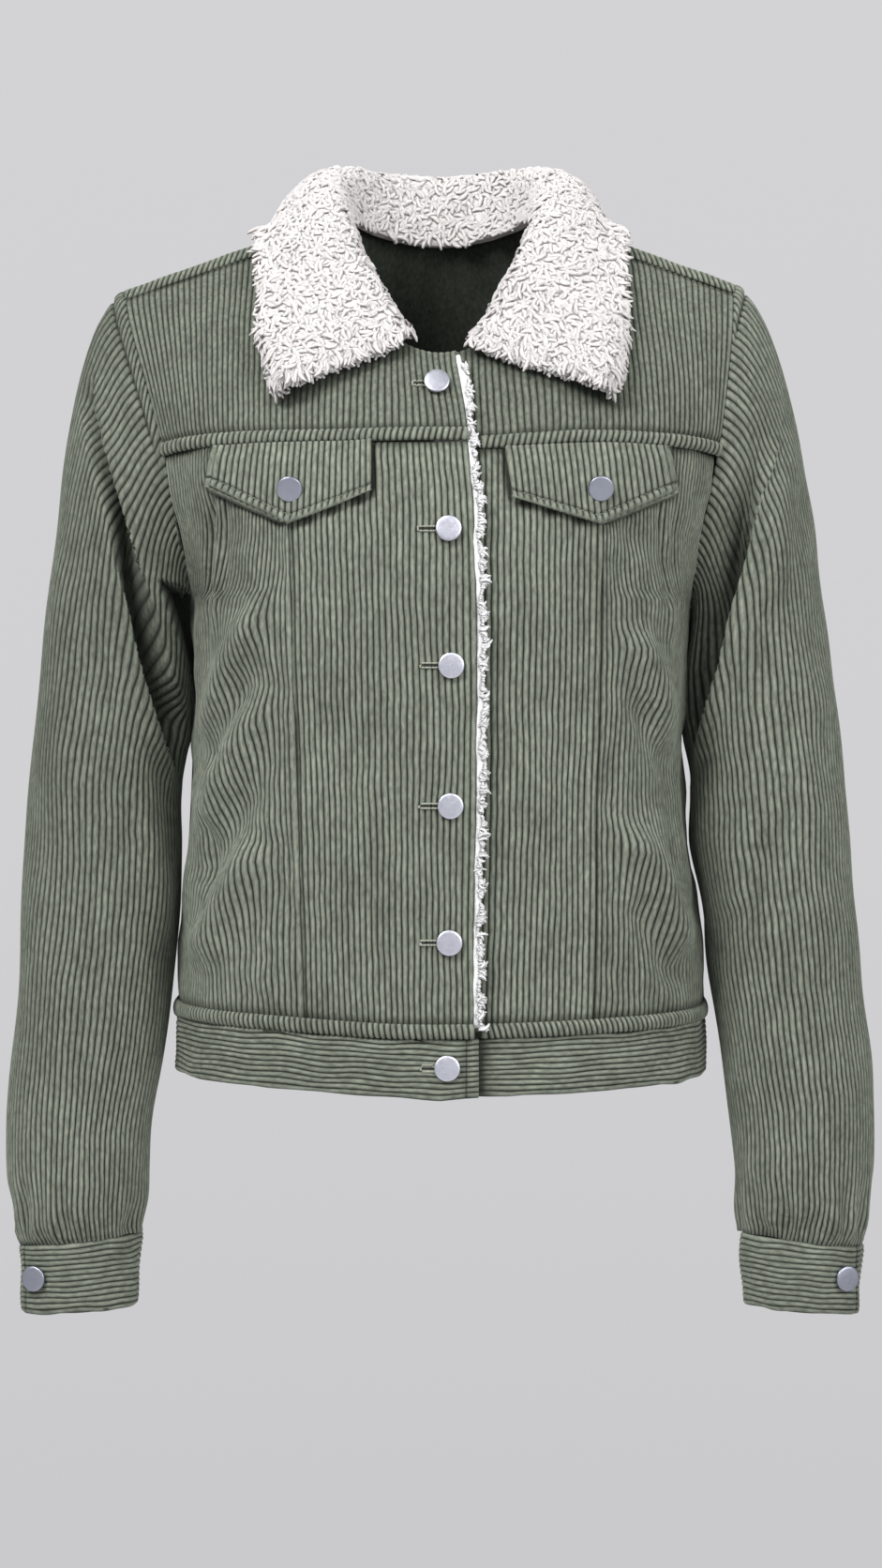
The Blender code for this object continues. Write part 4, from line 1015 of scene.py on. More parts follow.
# ---- fronts
class MakeFronts(bpy.types.Operator):
    """Make the centre and side panels of both fronts"""

    bl_idname = "jacket.make_fronts"
    bl_label = "Front panels"

    def execute(self, context):
        heights = np.concatenate([[0.01, 0.018, 0.024, 0.03, 0.038], np.linspace(0.05, 0.97, 56),
                                  [0.98, 0.988, 0.994, 1.0]])
        beside = (bell(1.0 - heights, 0.01) + bell(heights - ROLL_HEIGHT / BODY_HEIGHT, 0.008))[:, None]
        for side in SIGN:
            sign = SIGN[side]
            seam = lambda z, gap: princess_length(side, z) + gap
            # the piece on the left of each seam lies on top, and the other reaches under it
            under = {"centre": 0.0022, "side": 0.0} if side == "left" else {"centre": 0.0, "side": -0.0022}
            parts = {
                "centre": (front_start(side), lambda z: seam(z, under["centre"])),
                "side": (lambda z: seam(z, under["side"]), lambda z: girth(z, FRONT)),
            }
            for part, (start, end) in parts.items():
                width = end(WAIST) - start(WAIST)
                shares, pile = wales(wale_count(width))
                grid = lower_part(FRONT, sign, start, end, shares, heights)
                from_seam = (1.0 - shares if part == "centre" else shares) * width
                if under[part]:
                    lift = -0.0012 * bell(from_seam, 0.004)
                    # Painted shadow beside the seam, where the upper piece's edge lies over this one.
                    pile = pile * (1.0 - 0.25 * bell(from_seam - 0.003, 0.0014))
                else:
                    lift = 0.0015 * bell(from_seam - 0.0026, 0.003) - 0.0008 * bell(from_seam, 0.001)
                # Beside the rolled seams above and below, the cloth dips, and its colour is darkened there as painted
                # shade.
                lift = lift[None, :] - 0.0006 * beside
                pile = pile[None, :] * (1.0 - 0.4 * beside)
                if side == "left":
                    grid, lift, pile = flipped(grid, lift, pile)
                pressed_and_shaded = beside_flap(grid, side)
                # Beside the flap's edge the cloth is pressed in and darkened as painted shadow.
                lift = lift - 0.0008 * pressed_and_shaded
                pile = pile * (1.0 - 0.65 * pressed_and_shaded)
                grid = raised(grid, lift)
                grid = folded(grid, FOLDS[f"{part}_{side}"], sign, FRONT)
                grid = lumpy(grid, 0.0008, 0.026, 11 if part == "centre" else 13)
                if part == "side":
                    grid = lumpy(grid, 0.0008, 0.013, 15)
                grid = swayed(grid, 0.00065 if part == "centre" else 0.0012, 21 if side == "left" else 23)
                grid = lapped(grid, side)
                sewn(f"cloth_{part}_{side}", grid, pile, every=(2, 4), replaces=(f"front_{part}_{side}",))
        return {"FINISHED"}


class MakeYokes(bpy.types.Operator):
    """Make both front yokes, from their rolled seams to the neckline and the shoulders"""

    bl_idname = "jacket.make_yokes"
    bl_label = "Yokes"

    def execute(self, context):
        for side in SIGN:
            whole = girth(YOKE_LEVEL, FRONT)
            top = SHAPE[side]["shoulder"][0]
            start = front_start(side)(YOKE_LEVEL)
            shares, pile = wales(wale_count(top - start))
            top_x = blend(NECK_START if side == "left" else start * top / whole, top, shares)
            place = np.clip(top_x / top, 0.0, 1.0)
            fan = np.where(top_x < 0.0, top_x / top, 1.12 * place - 0.12 * place**4)
            fan += (start / whole - top_x[0] / top) * (1.0 - ease(shares, 0.0, 0.35))
            heights = np.concatenate([[0.045, 0.06, 0.072], np.linspace(0.084, 0.9, 30),
                                      [0.912, 0.924, 0.94, 0.965, 1.0]])
            grid = upper_part(FRONT, side, fan * whole, heights, top_x)
            on_shoulder = ease(top_x, NECK_HALF * 0.9, NECK_HALF * 1.05)
            line = bell(heights - 0.078, 0.012)[:, None] + bell(heights - 0.918, 0.014)[:, None] * on_shoulder[None, :]
            # Painted shade: the whole yoke is darkened for the extra light that its upturned face catches, the lines
            # beside the rolled seams are darkened, and so is the cloth under the collar's lower edge.
            pile = 0.86 * pile[None, :] * (1.0 - 0.42 * line) * (1.0 - 0.45 * below_collar(grid, side))
            if side == "left":
                grid, line, pile = flipped(grid, line, pile)
            grid = raised(grid, -0.0008 * line)
            grid = lumpy(grid, 0.0005, 0.035, 31)
            grid = swayed(grid, 0.0005, 33 if side == "left" else 35)
            grid = lapped(grid, side)
            sewn(f"cloth_yoke_{side}", grid, pile, replaces=(f"front_yoke_{side}",))
        return {"FINISHED"}


class MakeBack(bpy.types.Operator):
    """Make the back, one plain piece from the hem band to the neckline and the shoulder seams"""

    bl_idname = "jacket.make_back"
    bl_label = "Back"

    def execute(self, context):
        low_heights = np.concatenate([[0.01, 0.018], np.linspace(0.03, 1.0, 52)])
        high_heights = np.concatenate([np.linspace(0.0, 0.93, 24)[1:], [0.965, 1.0]])
        whole = girth(YOKE_LEVEL, BACK)
        shares, pile = wales(wale_count(whole))
        halves = []
        for side in SIGN:
            low = lower_part(BACK, SIGN[side], lambda z: 0.0, lambda z: girth(z, BACK), shares, low_heights)
            high = upper_part(BACK, side, shares * whole, high_heights)
            halves.append(np.concatenate([low, high]))
        grid = np.concatenate([halves[1][:, ::-1], halves[0][:, 1:]], axis=1)
        pile = np.concatenate([pile[::-1], pile[1:]])
        grid = folded(grid, FOLDS["back"], 1, BACK)
        grid = lumpy(grid, 0.0007, 0.04, 41)
        grid = swayed(grid, 0.00055, 43)
        sewn("cloth_back", grid, pile[None, :], replaces=("back",))
        return {"FINISHED"}


class MakeRolledSeams(bpy.types.Operator):
    """Make the rolled seams along the yokes, above the hem band and over the shoulders"""

    bl_idname = "jacket.make_rolled_seams"
    bl_label = "Rolled seams"

    def execute(self, context):
        pitch = context.scene.jacket_cloth.wale_pitch
        dense = even(160)
        rise = ROLL_HEIGHT / BODY_HEIGHT
        whole = girth(YOKE_LEVEL, FRONT)
        for side in SIGN:
            sign = SIGN[side]
            # along the yoke
            begin = front_start(side)(YOKE_LEVEL) if side == "left" else 0.024
            along = blend(begin, whole, dense)
            band = upper_part(FRONT, side, along, (0.0, 0.037, 0.074))
            self.add(f"roll_yoke_{side}", band, side, 0.0018, pitch)
            # above the hem band
            begin = front_start(side) if side == "left" else (lambda z: 0.024)
            band = lower_part(FRONT, sign, begin, lambda z: girth(z, FRONT), dense, (-0.0025, rise / 2.0, rise))
            band[:, :, 2] += np.array([0.0, 0.0016, 0.0032])[:, None] * ease(dense, 0.8, 1.0)
            self.add(f"roll_hem_{side}", band, side, -0.0012 if side == "left" else -0.0026, pitch * 0.93,
                     flat_ends=(ROLL_FLAT, 0.0) if side == "left" else (0.0, ROLL_FLAT))
            # over the shoulder
            top = SHAPE[side]["shoulder"][0]
            front = upper_part(FRONT, side, blend(NECK_HALF, top, dense) * whole / top, (0.925, 0.98))
            back = upper_part(BACK, side, blend(NECK_HALF, top, dense) * girth(YOKE_LEVEL, BACK) / top, (0.985,))
            band = np.array([front[0], front[1] + (0.0, 0.0, 0.0004), back[0]])
            self.add(f"roll_shoulder_{side}", band, side, -0.006 * sign, pitch, 0.0024, lap=False)
        back_girth = lambda z: girth(z, BACK)
        band = lower_part(BACK, 1, lambda z: -back_girth(z), back_girth, even(300),
                          (-0.0025, rise / 2.0, rise))
        band[:, :, 2] += np.array([0.0, 0.0016, 0.0032])[:, None] * ease(abs(np.linspace(-1.0, 1.0, 300)), 0.88, 1.0)
        self.add("roll_hem_back", band, "left", -0.002, pitch * 0.93, lap=False, flat_ends=(ROLL_FLAT, ROLL_FLAT))
        return {"FINISHED"}

    def add(self, name, band, side, slant, pitch, bulge=0.0036, lap=True, flat_ends=(0.0, 0.0)):
        if side == "left":
            band = band[:, ::-1]
        if lap:
            band = lapped(band, side)
        roll_of_cloth(name, band, slant, bulge, pitch, flat_ends)


# ---- hem band
def band_points(stations, shift):
    """A level of the hem band at places from its lower end round the right, back and left sides to its upper end."""
    z = HEM_LEVEL - SEAM - shift
    front, back = girth(z, FRONT), girth(z, BACK)
    down = shift / BAND_HEIGHT
    points = []
    places = blend(-UNDERLAP, 2.0 * (front + back) + BAND_END, stations)
    for place in places:
        if place <= front:
            face, sign, along = FRONT, 1, place
        elif place <= front + 2.0 * back:
            offset = place - front - back
            face, sign, along = BACK, -1 if offset > 0.0 else 1, abs(offset)
        else:
            face, sign, along = FRONT, -1, 2.0 * (front + back) - place
        points.append((face, sign, along))
    rows = np.zeros((len(points), 3))
    for face in (FRONT, BACK):
        for sign in (-1, 1):
            chosen = [i for i, point in enumerate(points) if point[:2] == (face, sign)]
            if chosen:
                along = np.array([points[i][2] for i in chosen])
                rows[chosen] = level_points(z, face, sign, along)
                share = np.abs(along) / (front if face == FRONT else back)
                drawn_up = along_table(BAND_RAISED[sign], share)
                if face == FRONT:
                    rise = hem_rise(share, sign)
                    rows[chosen, 2] += rise + (drawn_up - rise - HEM_DIP * (1.0 - share**2)) * down
                else:
                    rows[chosen, 2] += blend(0.0034, BAND_RAISED[sign][-1][1], share) * down
    whole = 2.0 * (front + back)
    lift = LAP_LIFT * 0.85 * ease(places, whole + LAP_START, whole + LAP_FULL)
    outward = unit(rows * (1.0, 1.0, 0.0))
    return rows + outward * lift[:, None]


STRIP_FORM = {"thickness": 0.0025, "every": (4, 2), "kind": "corduroy_across", "relief": 0.001}


def strip_shift(levels, width, from_end, stitched):
    """How far a folded strip's edges, its end and the stitching beside its end lie below its middle."""
    press = -0.0005 * bell(from_end - stitched, 0.0008)[None, :]
    height = levels * width
    edge = -0.0012 * (bell(height, 0.0016) + bell(width - height, 0.0016))[:, None]
    edge = edge - 0.001 * bell(from_end, 0.0015)[None, :]
    return press + edge


class MakeHemBand(bpy.types.Operator):
    """Make the hem band, whose wales run round the body"""

    bl_idname = "jacket.make_hem_band"
    bl_label = "Hem band"

    def execute(self, context):
        levels, pile = wales(11)
        stitched = np.sort(np.concatenate([even(261), 1.0 - np.array(BAND_STITCHING) / BAND_LENGTH]))
        from_end = (1.0 - stitched) * BAND_LENGTH
        grid = np.array([band_points(stitched, BAND_HEIGHT * (1.0 - level)) for level in levels])
        grid = raised(grid, strip_shift(levels, BAND_HEIGHT, from_end, BAND_STITCHING[1]))
        grid = lumpy(grid, 0.0009, 0.016, 51)
        grid[1:-1, :, 2] += (unevenness(grid, 0.014, 53) * 0.0006)[1:-1]
        # Painted shade along the stitched line near the band's end, where it is pressed in.
        pile = pile[:, None] * (1.0 - 0.45 * bell(from_end - BAND_STITCHING[1], 0.0008))[None, :]
        beyond = stitched * 0.95 - UNDERLAP - BAND_END      # past the end of the upper layer
        # Painted shadow on the lower layer just past the upper layer's end.
        pile = pile * (1.0 - 0.6 * bell(np.maximum(beyond, 0.0), 0.0075))[None, :]
        sewn("cloth_hem_band", grid, pile, replaces=("hem_band",), **STRIP_FORM)
        return {"FINISHED"}


# ---- sleeves and cuffs
def armhole_loop(side, shares):
    """The armhole from the shoulder seam down the front and up the back, at shares of the way round."""
    sign = SIGN[side]
    points = np.zeros((len(shares), 3))
    for face in (FRONT, BACK):
        whole = girth(YOKE_LEVEL, face)
        high = upper_part(face, side, np.array([whole]), np.linspace(1.0, 0.0, 30))[:, 0]
        levels = np.linspace(YOKE_LEVEL, ARMHOLE_BOTTOM, 60)[1:]
        low = np.array([level_points(z, face, sign, np.array([girth(z, face)]))[0] for z in levels])
        line = np.concatenate([high, low])
        along = reach_along(line)
        chosen = shares <= 0.5 if face == FRONT else shares > 0.5
        reach = (shares[chosen] if face == FRONT else 1.0 - shares[chosen]) * 2.0 * along[-1]
        points[chosen] = picked(reach, along, line)
    return points


def ring_points(sign, outer, inner, front, back, z, turn, size=1.0):
    """A level of a sleeve or cuff, starting outside and going round by the front."""
    centre_x, half_x = (outer + inner) / 2.0, (outer - inner) / 2.0 * size
    centre_y, half_y = (front + back) / 2.0, (back - front) / 2.0 * size
    low = (SLEEVE[-1][0] - z) / (SLEEVE[-1][0] - SLEEVE[0][0])
    x = centre_x + half_x * np.cos(turn)
    y = centre_y - half_y * np.sin(turn)
    return np.stack([x * sign, y, z - SLEEVE_TILT * low * np.cos(turn)], axis=1)


def even_turn(half_x, half_y, shares):
    """Angles that divide an ellipse evenly along its edge."""
    turn = np.linspace(0.0, 2.0 * math.pi, 721)
    along = running(np.hypot(half_x * np.diff(np.cos(turn)), half_y * np.diff(np.sin(turn))))
    return np.interp(shares * along[-1], along, turn)


def sleeve_ring(side, z, shares):
    outer = float(column_curve(SLEEVE, 1 if side == "left" else 2)(z))
    inner, front, back = (float(column_curve(SLEEVE, i)(z)) for i in (3, 4, 5))
    inner += float(along_table(SLEEVE_INNER[side], z))
    turn = even_turn((outer - inner) / 2.0, (back - front) / 2.0, shares)
    return ring_points(SIGN[side], outer, inner, front, back, z, turn)


CAP_STEPS = np.concatenate([np.linspace(0.0, 0.096, 13), np.linspace(0.108, 1.0, 70)])
# The stitched strip beside the armhole: shares of the way down and of the cap where it ends, how many wales its own
# short wales lean by, and the shares between which it runs out.
STRIP = {
    "left": {"end": ((0.0, 0.08), (0.5, 0.056)), "slant": 2.0, "last": (0.4, 0.54)},
    "right": {"end": ((0.0, 0.074), (0.11, 0.04), (0.2, 0.018)), "slant": 1.2, "last": (0.12, 0.22)},
}


def strip_beside(side, shares):
    """Where the strip ends at each share of the way round the armhole, and how fully it is there."""
    down = np.minimum(shares, 1.0 - shares) * 2.0
    return along_table(STRIP[side]["end"], down), 1.0 - ease(down, *STRIP[side]["last"]), down


def sleeve_form(side, shares):
    """The sleeve's tube from the cuff up to the armhole, and how far from the armhole each row of the cap is."""
    sign = SIGN[side]
    loop = armhole_loop(side, shares)
    top = sleeve_ring(side, SLEEVE[-1][0], shares)
    below = sleeve_ring(side, SLEEVE[-1][0] - 0.01, shares)
    share = (1.0 - np.cos(2.0 * math.pi * shares)) / 2.0
    down = -0.34 - 0.26 * np.sqrt(share) - 0.36 * share**6
    leaving = np.stack([sign * np.sqrt(1.0 - down**2), np.zeros_like(down), down], axis=1)
    loop = loop - leaving * SLEEVE_GAP
    arriving = unit(below - top)
    span = np.linalg.norm(top - loop, axis=1, keepdims=True)
    pull = blend(0.5, 0.8, np.sin(math.pi * share) ** 2)[:, None]
    end, held, down_share = strip_beside(side, shares)
    slant = STRIP[side]["slant"] / SLEEVE_WALES * ease(down_share, 0.0, 0.08) * held
    cap = []
    for t in CAP_STEPS:
        start = loop
        if t < end.max():
            lean = np.where(shares < 0.5, slant, -slant) * np.clip(1.0 - t / end, 0.0, 1.0)
            start = armhole_loop(side, np.clip(shares - lean, 0.0, 1.0)) - leaving * SLEEVE_GAP
        cap.append(hermite(start, leaving * span * pull, top, arriving * span * 0.84, t))
    heights = SLEEVE[-1][0] + (SLEEVE[0][0] - SLEEVE[-1][0]) * even(86)[1:]
    arm = [sleeve_ring(side, z, shares) for z in heights]
    return np.array(cap + arm)[::-1], len(arm)


def beside_armhole(side, rows, arm_rows, shares):
    """Shift of the stitched strip beside the upper armhole, and a factor on the colour there: painted shade in the
    stitched line below the strip and along the armhole seam.
    """
    from_top = np.full((rows, 1), 1.0)
    from_top[arm_rows:, 0] = CAP_STEPS[::-1]
    end, held, _ = strip_beside(side, shares)
    line = bell(from_top - end, 0.007) * held
    bulge = np.clip(1.0 - (2.0 * from_top / end - 1.0) ** 2, 0.0, 1.0) * held
    start = bell(from_top, 0.005)
    return 0.0016 * bulge - 0.0012 * line - 0.0006 * start, 1.0 - 0.45 * line - 0.35 * start


def recess(points, normal, side):
    """The long fold in the front of a sleeve: how deep it is at each point, and how far its lip reaches over it."""
    form = RECESS[side]
    x, z = np.abs(points[:, :, 0]), points[:, :, 2]
    inner, outer = along_table(form["inner"], z), along_table(form["outer"], z)
    deep = along_table(form["depth"], z) * ease(-normal[:, :, 1], 0.2, 0.6)
    rise_in = ease(x, inner, inner + along_table(form["inner_rise"], z))
    rise_out = ease(outer - x, 0.0, along_table(form["outer_rise"], z))
    lip = bell(x - outer - 0.001, 0.005) * (x > outer - 0.001)
    if side == "left":
        lip = lip * ease(-z, 0.21, 0.25)
        over = -bell(inner - x, 0.005) * (x < inner + 0.001) * (1.0 - ease(-z, 0.2, 0.25))
    else:
        over = 0.0
    return -deep * rise_in * rise_out, (lip + over) * np.minimum(deep / 0.01, 1.0) * 0.0026


def hollow(points):
    """How fully each point lies in the hollow beside the torso."""
    x, z = np.abs(points[:, :, 0]), points[:, :, 2]
    inside = np.full(x.shape, np.inf)
    for (ax, az), (bx, bz) in zip(HOLLOW, (*HOLLOW[1:], HOLLOW[0])):
        inside = np.minimum(inside, ((z - az) * (bx - ax) - (x - ax) * (bz - az)) / math.hypot(bx - ax, bz - az))
    return ease(inside, 0.0, 0.004) * (points[:, :, 1] < -0.004)


def make_sleeve(side):
    """A tube from the armhole to the cuff with its folds, its strip beside the armhole and its gathers."""
    sign = SIGN[side]
    shares, pile = wales(SLEEVE_WALES, closed=True)
    grid, arm_rows = sleeve_form(side, shares)
    strip, tone_and_shade = beside_armhole(side, len(grid), arm_rows, shares)
    pile = pile[None, :] * tone_and_shade
    if side == "right":
        grid, strip, pile = flipped(grid, strip, pile)
    normal = normals_of(grid, True)
    shift = strip
    for face, folds in SLEEVE_FOLDS[side].items():
        for depth, half_width, path in folds:
            far, share = distance_to_path(grid, path)
            fade = ease(share, 0.0, 0.25) * (1.0 - ease(share, 0.75, 1.0))
            shift = shift + depth * bell(far, half_width) * fade * ease(normal[:, :, 1] * face, 0.1, 0.5)
    deep, lip = recess(grid, normal, side)
    flat = grid
    grid = grid + normal * (shift + deep)[:, :, None]
    grid[:, :, 0] -= sign * lip
    # Painted shade: the deeper a fold or the recess presses in, the darker the colour.
    pile = pile * (1.0 - 0.58 * np.clip(-(shift + deep) / 0.022, 0.0, 1.0))
    tone_and_shade = along_table(SLEEVE_TONE[side], flat[:, :, 2])
    pile = pile * tone_and_shade
    if side == "left":
        # The hollow is pushed back and its colour painted almost black, as painted shade.
        pushed_and_shaded = hollow(flat)
        grid[:, :, 1] += 0.018 * pushed_and_shaded
        pile = pile * (1.0 - 0.9 * pushed_and_shaded)
    # gathers into the cuff
    z = flat[:, :, 2]
    gathered = ease(-z, 0.585, 0.628)
    gathers = unevenness(flat * (1.0, 1.0, 0.08), 0.0055, 61) * 0.0019 + unevenness(flat, 0.016, 62) * 0.0014
    gathers = gathers * gathered * (1.0 - ease(-z, 0.627, 0.634)) + 0.0016 * ease(-z, 0.624, 0.634)
    grid = grid + normal * gathers[:, :, None]
    grid[:, :, 0] -= sign * 0.0028 * ease(normal[:, :, 0] * sign, 0.2, 0.9) * bell(z + 0.616, 0.014)
    held = ease(-z, 0.1, 0.2)
    grid = raised(grid, unevenness(grid, 0.034, 63 if side == "left" else 65) * 0.001 * held, True)
    grid = swayed(grid, 0.001, 67, closed=True)
    sewn(f"cloth_sleeve_{side}", grid, pile, closed=True, every=(2, 4), replaces=(f"sleeve_{side}",))


class MakeSleeves(bpy.types.Operator):
    """Make both sleeves with their folds"""

    bl_idname = "jacket.make_sleeves"
    bl_label = "Sleeves"

    def execute(self, context):
        for side in SIGN:
            make_sleeve(side)
        return {"FINISHED"}


def cuff_grid(side, shares, levels):
    """A strip round the wrist whose upper end laps over its lower end outside."""
    sign = SIGN[side]
    z = SLEEVE[0][0]
    outer = SLEEVE[0][1 if side == "left" else 2] + (0.003 if side == "left" else 0.0036)
    inner, front, back = SLEEVE[0][3] - CUFF_WIDER, SLEEVE[0][4] - CUFF_WIDER, SLEEVE[0][5] + CUFF_WIDER
    end = math.pi / 2.0 - CUFF_END
    under = math.pi / 2.0 - CUFF_UNDER
    turn = blend(end, 2.0 * math.pi + under, shares)
    lift = CUFF_LIFT * (1.0 - ease(turn, under + 0.25, under + 0.9))
    rows = []
    for level in levels:
        share = 1.0 - level
        ring = ring_points(sign, outer, inner, front, back, z, turn, blend(1.0, CUFF_TAPER, share))
        centre = np.array([sign * (outer + inner) / 2.0, (front + back) / 2.0, 0.0])
        outward = unit((ring - centre) * (1.0, 1.0, 0.0))
        ring = ring + outward * lift[:, None]
        ring[:, 2] -= SEAM + CUFF_HEIGHT * share - SLEEVE_TILT * 0.45 * share * np.cos(turn)
        rows.append(ring)
    return np.array(rows)


class MakeCuffs(bpy.types.Operator):
    """Make both cuffs, whose wales run round the wrist"""

    bl_idname = "jacket.make_cuffs"
    bl_label = "Cuffs"

    def execute(self, context):
        levels, pile = wales(round(CUFF_HEIGHT / CUFF_PITCH))
        shares = np.sort(np.concatenate([even(90), np.array(CUFF_STITCHING) / CUFF_LENGTH]))
        for side in SIGN:
            grid = cuff_grid(side, shares, levels)
            shift = strip_shift(levels, CUFF_HEIGHT, shares * CUFF_LENGTH, CUFF_STITCHING[1])
            # The grooves are lifted a little, and the stitched line near the end is darkened as painted shade where it
            # is pressed in.
            tone_and_shade = (0.1 + 0.9 * pile[:, None]) * (1.0 - 0.45 * bell(shares * CUFF_LENGTH - CUFF_STITCHING[1], 0.0008))
            if side == "right":
                grid, shift, tone_and_shade = flipped(grid, shift, tone_and_shade)
            grid = raised(grid, shift)
            grid = lumpy(grid, 0.0008, 0.014, 81)
            grid[1:-1, :, 2] += (unevenness(grid, 0.013, 83) * 0.0005)[1:-1]
            sewn(f"cloth_cuff_{side}", grid, tone_and_shade, replaces=(f"cuff_{side}",), **STRIP_FORM)
        return {"FINISHED"}


# ---- flaps
def flap_corners(side):
    sizes = FLAPS[side]
    (outer, inner), (outer_z, inner_z) = sizes["bottom"], sizes["corners"]
    return ((sizes["top"][0], FLAP_TOP), (outer, outer_z), (sizes["point"], FLAP_POINT), (inner, inner_z),
            (sizes["top"][1], FLAP_TOP))


def flap_form(side, shares, downs):
    """The flap's outer face at shares from its inner to its outer end, and from its top down."""
    sign = SIGN[side]
    sizes = FLAPS[side]
    point_share = (sizes["point"] - sizes["bottom"][1]) / (sizes["bottom"][0] - sizes["bottom"][1])
    rows = []
    for down in downs:
        row = []
        for share in shares:
            x_top = blend(sizes["top"][1], sizes["top"][0], share)
            x_low = blend(sizes["bottom"][1], sizes["bottom"][0], share)
            tip = 1.0 - abs(share - point_share) / (point_share if share < point_share else 1.0 - point_share)
            z_low = blend(sizes["corners"][0 if share > point_share else 1], FLAP_POINT, tip)
            z_top = YOKE_LEVEL + yoke_rise(x_top / YOKE_HALF, sign) - 0.0002
            row.append(front_point(sign * blend(x_top, x_low, down), blend(z_top, z_low, down)))
        rows.append(row)
    grid = np.array(rows)
    if side == "left":
        grid = grid[:, ::-1]
    lift = FLAP_LAYER + (FLAP_LIFT - FLAP_LAYER) * ease(np.array(downs), 0.0, 0.3)[:, None]
    return raised(grid, lift + (lap_lift(grid[:, :, 0]) if side == "left" else 0.0))


class MakeFlaps(bpy.types.Operator):
    """Make both pocket flaps with their turned edges and stitched lower borders"""

    bl_idname = "jacket.make_flaps"
    bl_label = "Pocket flaps"

    def execute(self, context):
        for side in SIGN:
            sizes = FLAPS[side]
            shares, pile = wales(wale_count(sizes["bottom"][0] - sizes["bottom"][1]))
            at, levels = even(29), np.linspace(1.0, 0.0, 9)
            coarse = flap_form(side, at, levels)
            downs = np.concatenate([[1.0, 0.985, 0.965], np.linspace(0.94, 0.6, 16), np.linspace(0.57, 0.0, 14)])
            fine = np.array([picked(shares, at, row) for row in coarse])
            grid = np.array([picked(-downs, -levels, fine[:, c]) for c in range(len(shares))]).transpose(1, 0, 2)
            corners = flap_corners(side)
            edge, low = (distance_to_path(grid, path)[0] for path in (corners, corners[1:4]))
            shift = 0.0006 + 0.0011 * bell(edge - 0.0024, 0.002) - 0.0018 * bell(edge, 0.0009)
            line = bell(low - 0.0054, 0.0007)
            shift = shift - 0.0009 * line
            # Painted shade in the stitched line, where it is pressed in.
            pile = pile[None, :] * (1.0 - 0.45 * line)
            pile = np.maximum(pile, 0.92 * bell(low - 0.0012, 0.0012))
            grid = raised(grid, shift)
            grid = lumpy(grid, 0.0004, 0.02, 91)
            sewn(f"cloth_flap_{side}", grid, pile, FLAP_LAYER, replaces=(f"pocket_flap_{side}",))
        return {"FINISHED"}


# ---- collar
def shoulders_tree():
    """The outer face of the yoke and upper back, for the collar to lie on."""
    verts, faces = [], []
    for side in SIGN:
        for face in (FRONT, BACK):
            whole = girth(YOKE_LEVEL, face)
            grid = upper_part(face, side, np.linspace(0.0, whole, 40), even(40))
            if face * SIGN[side] > 0:
                grid = grid[:, ::-1]
            if face == FRONT and side == "left":
                grid = raised(grid, lap_lift(grid[:, :, 0]))
            faces += quads(40, 40, len(verts))
            verts += [Vector(point) for point in grid.reshape(-1, 3).tolist()]
    return BVHTree.FromPolygons(verts, faces)


def neck_seam(side, degrees):
    """Where the collar stands on the neckline, at an angle round it from the centre of the back."""
    turn = math.radians(degrees)
    face = BACK if degrees <= 90.0 else FRONT
    point = top_line(face, side, np.array([NECK_HALF * math.sin(turn)]))[0][0]
    inward = np.array([-SIGN[side] * math.sin(turn), -math.cos(turn), 0.0])
    return point + inward * COLLAR_INSET + np.array([0.0, 0.0, COLLAR_RAISE])


def rest_on(tree, point, height, always):
    """The point lifted to a height off the cloth, or laid at that height if it always rests on it."""
    spot, normal, _, _ = tree.find_nearest(Vector(point))
    spot, normal = np.array(spot), np.array(normal)
    above = float(np.dot(np.array(point) - spot, normal))
    beside = np.linalg.norm(np.array(point) - spot - normal * above)
    if beside > 0.002 and not always:
        return np.array(point)
    if always or above < height:
        return spot + normal * height
    return np.array(point)


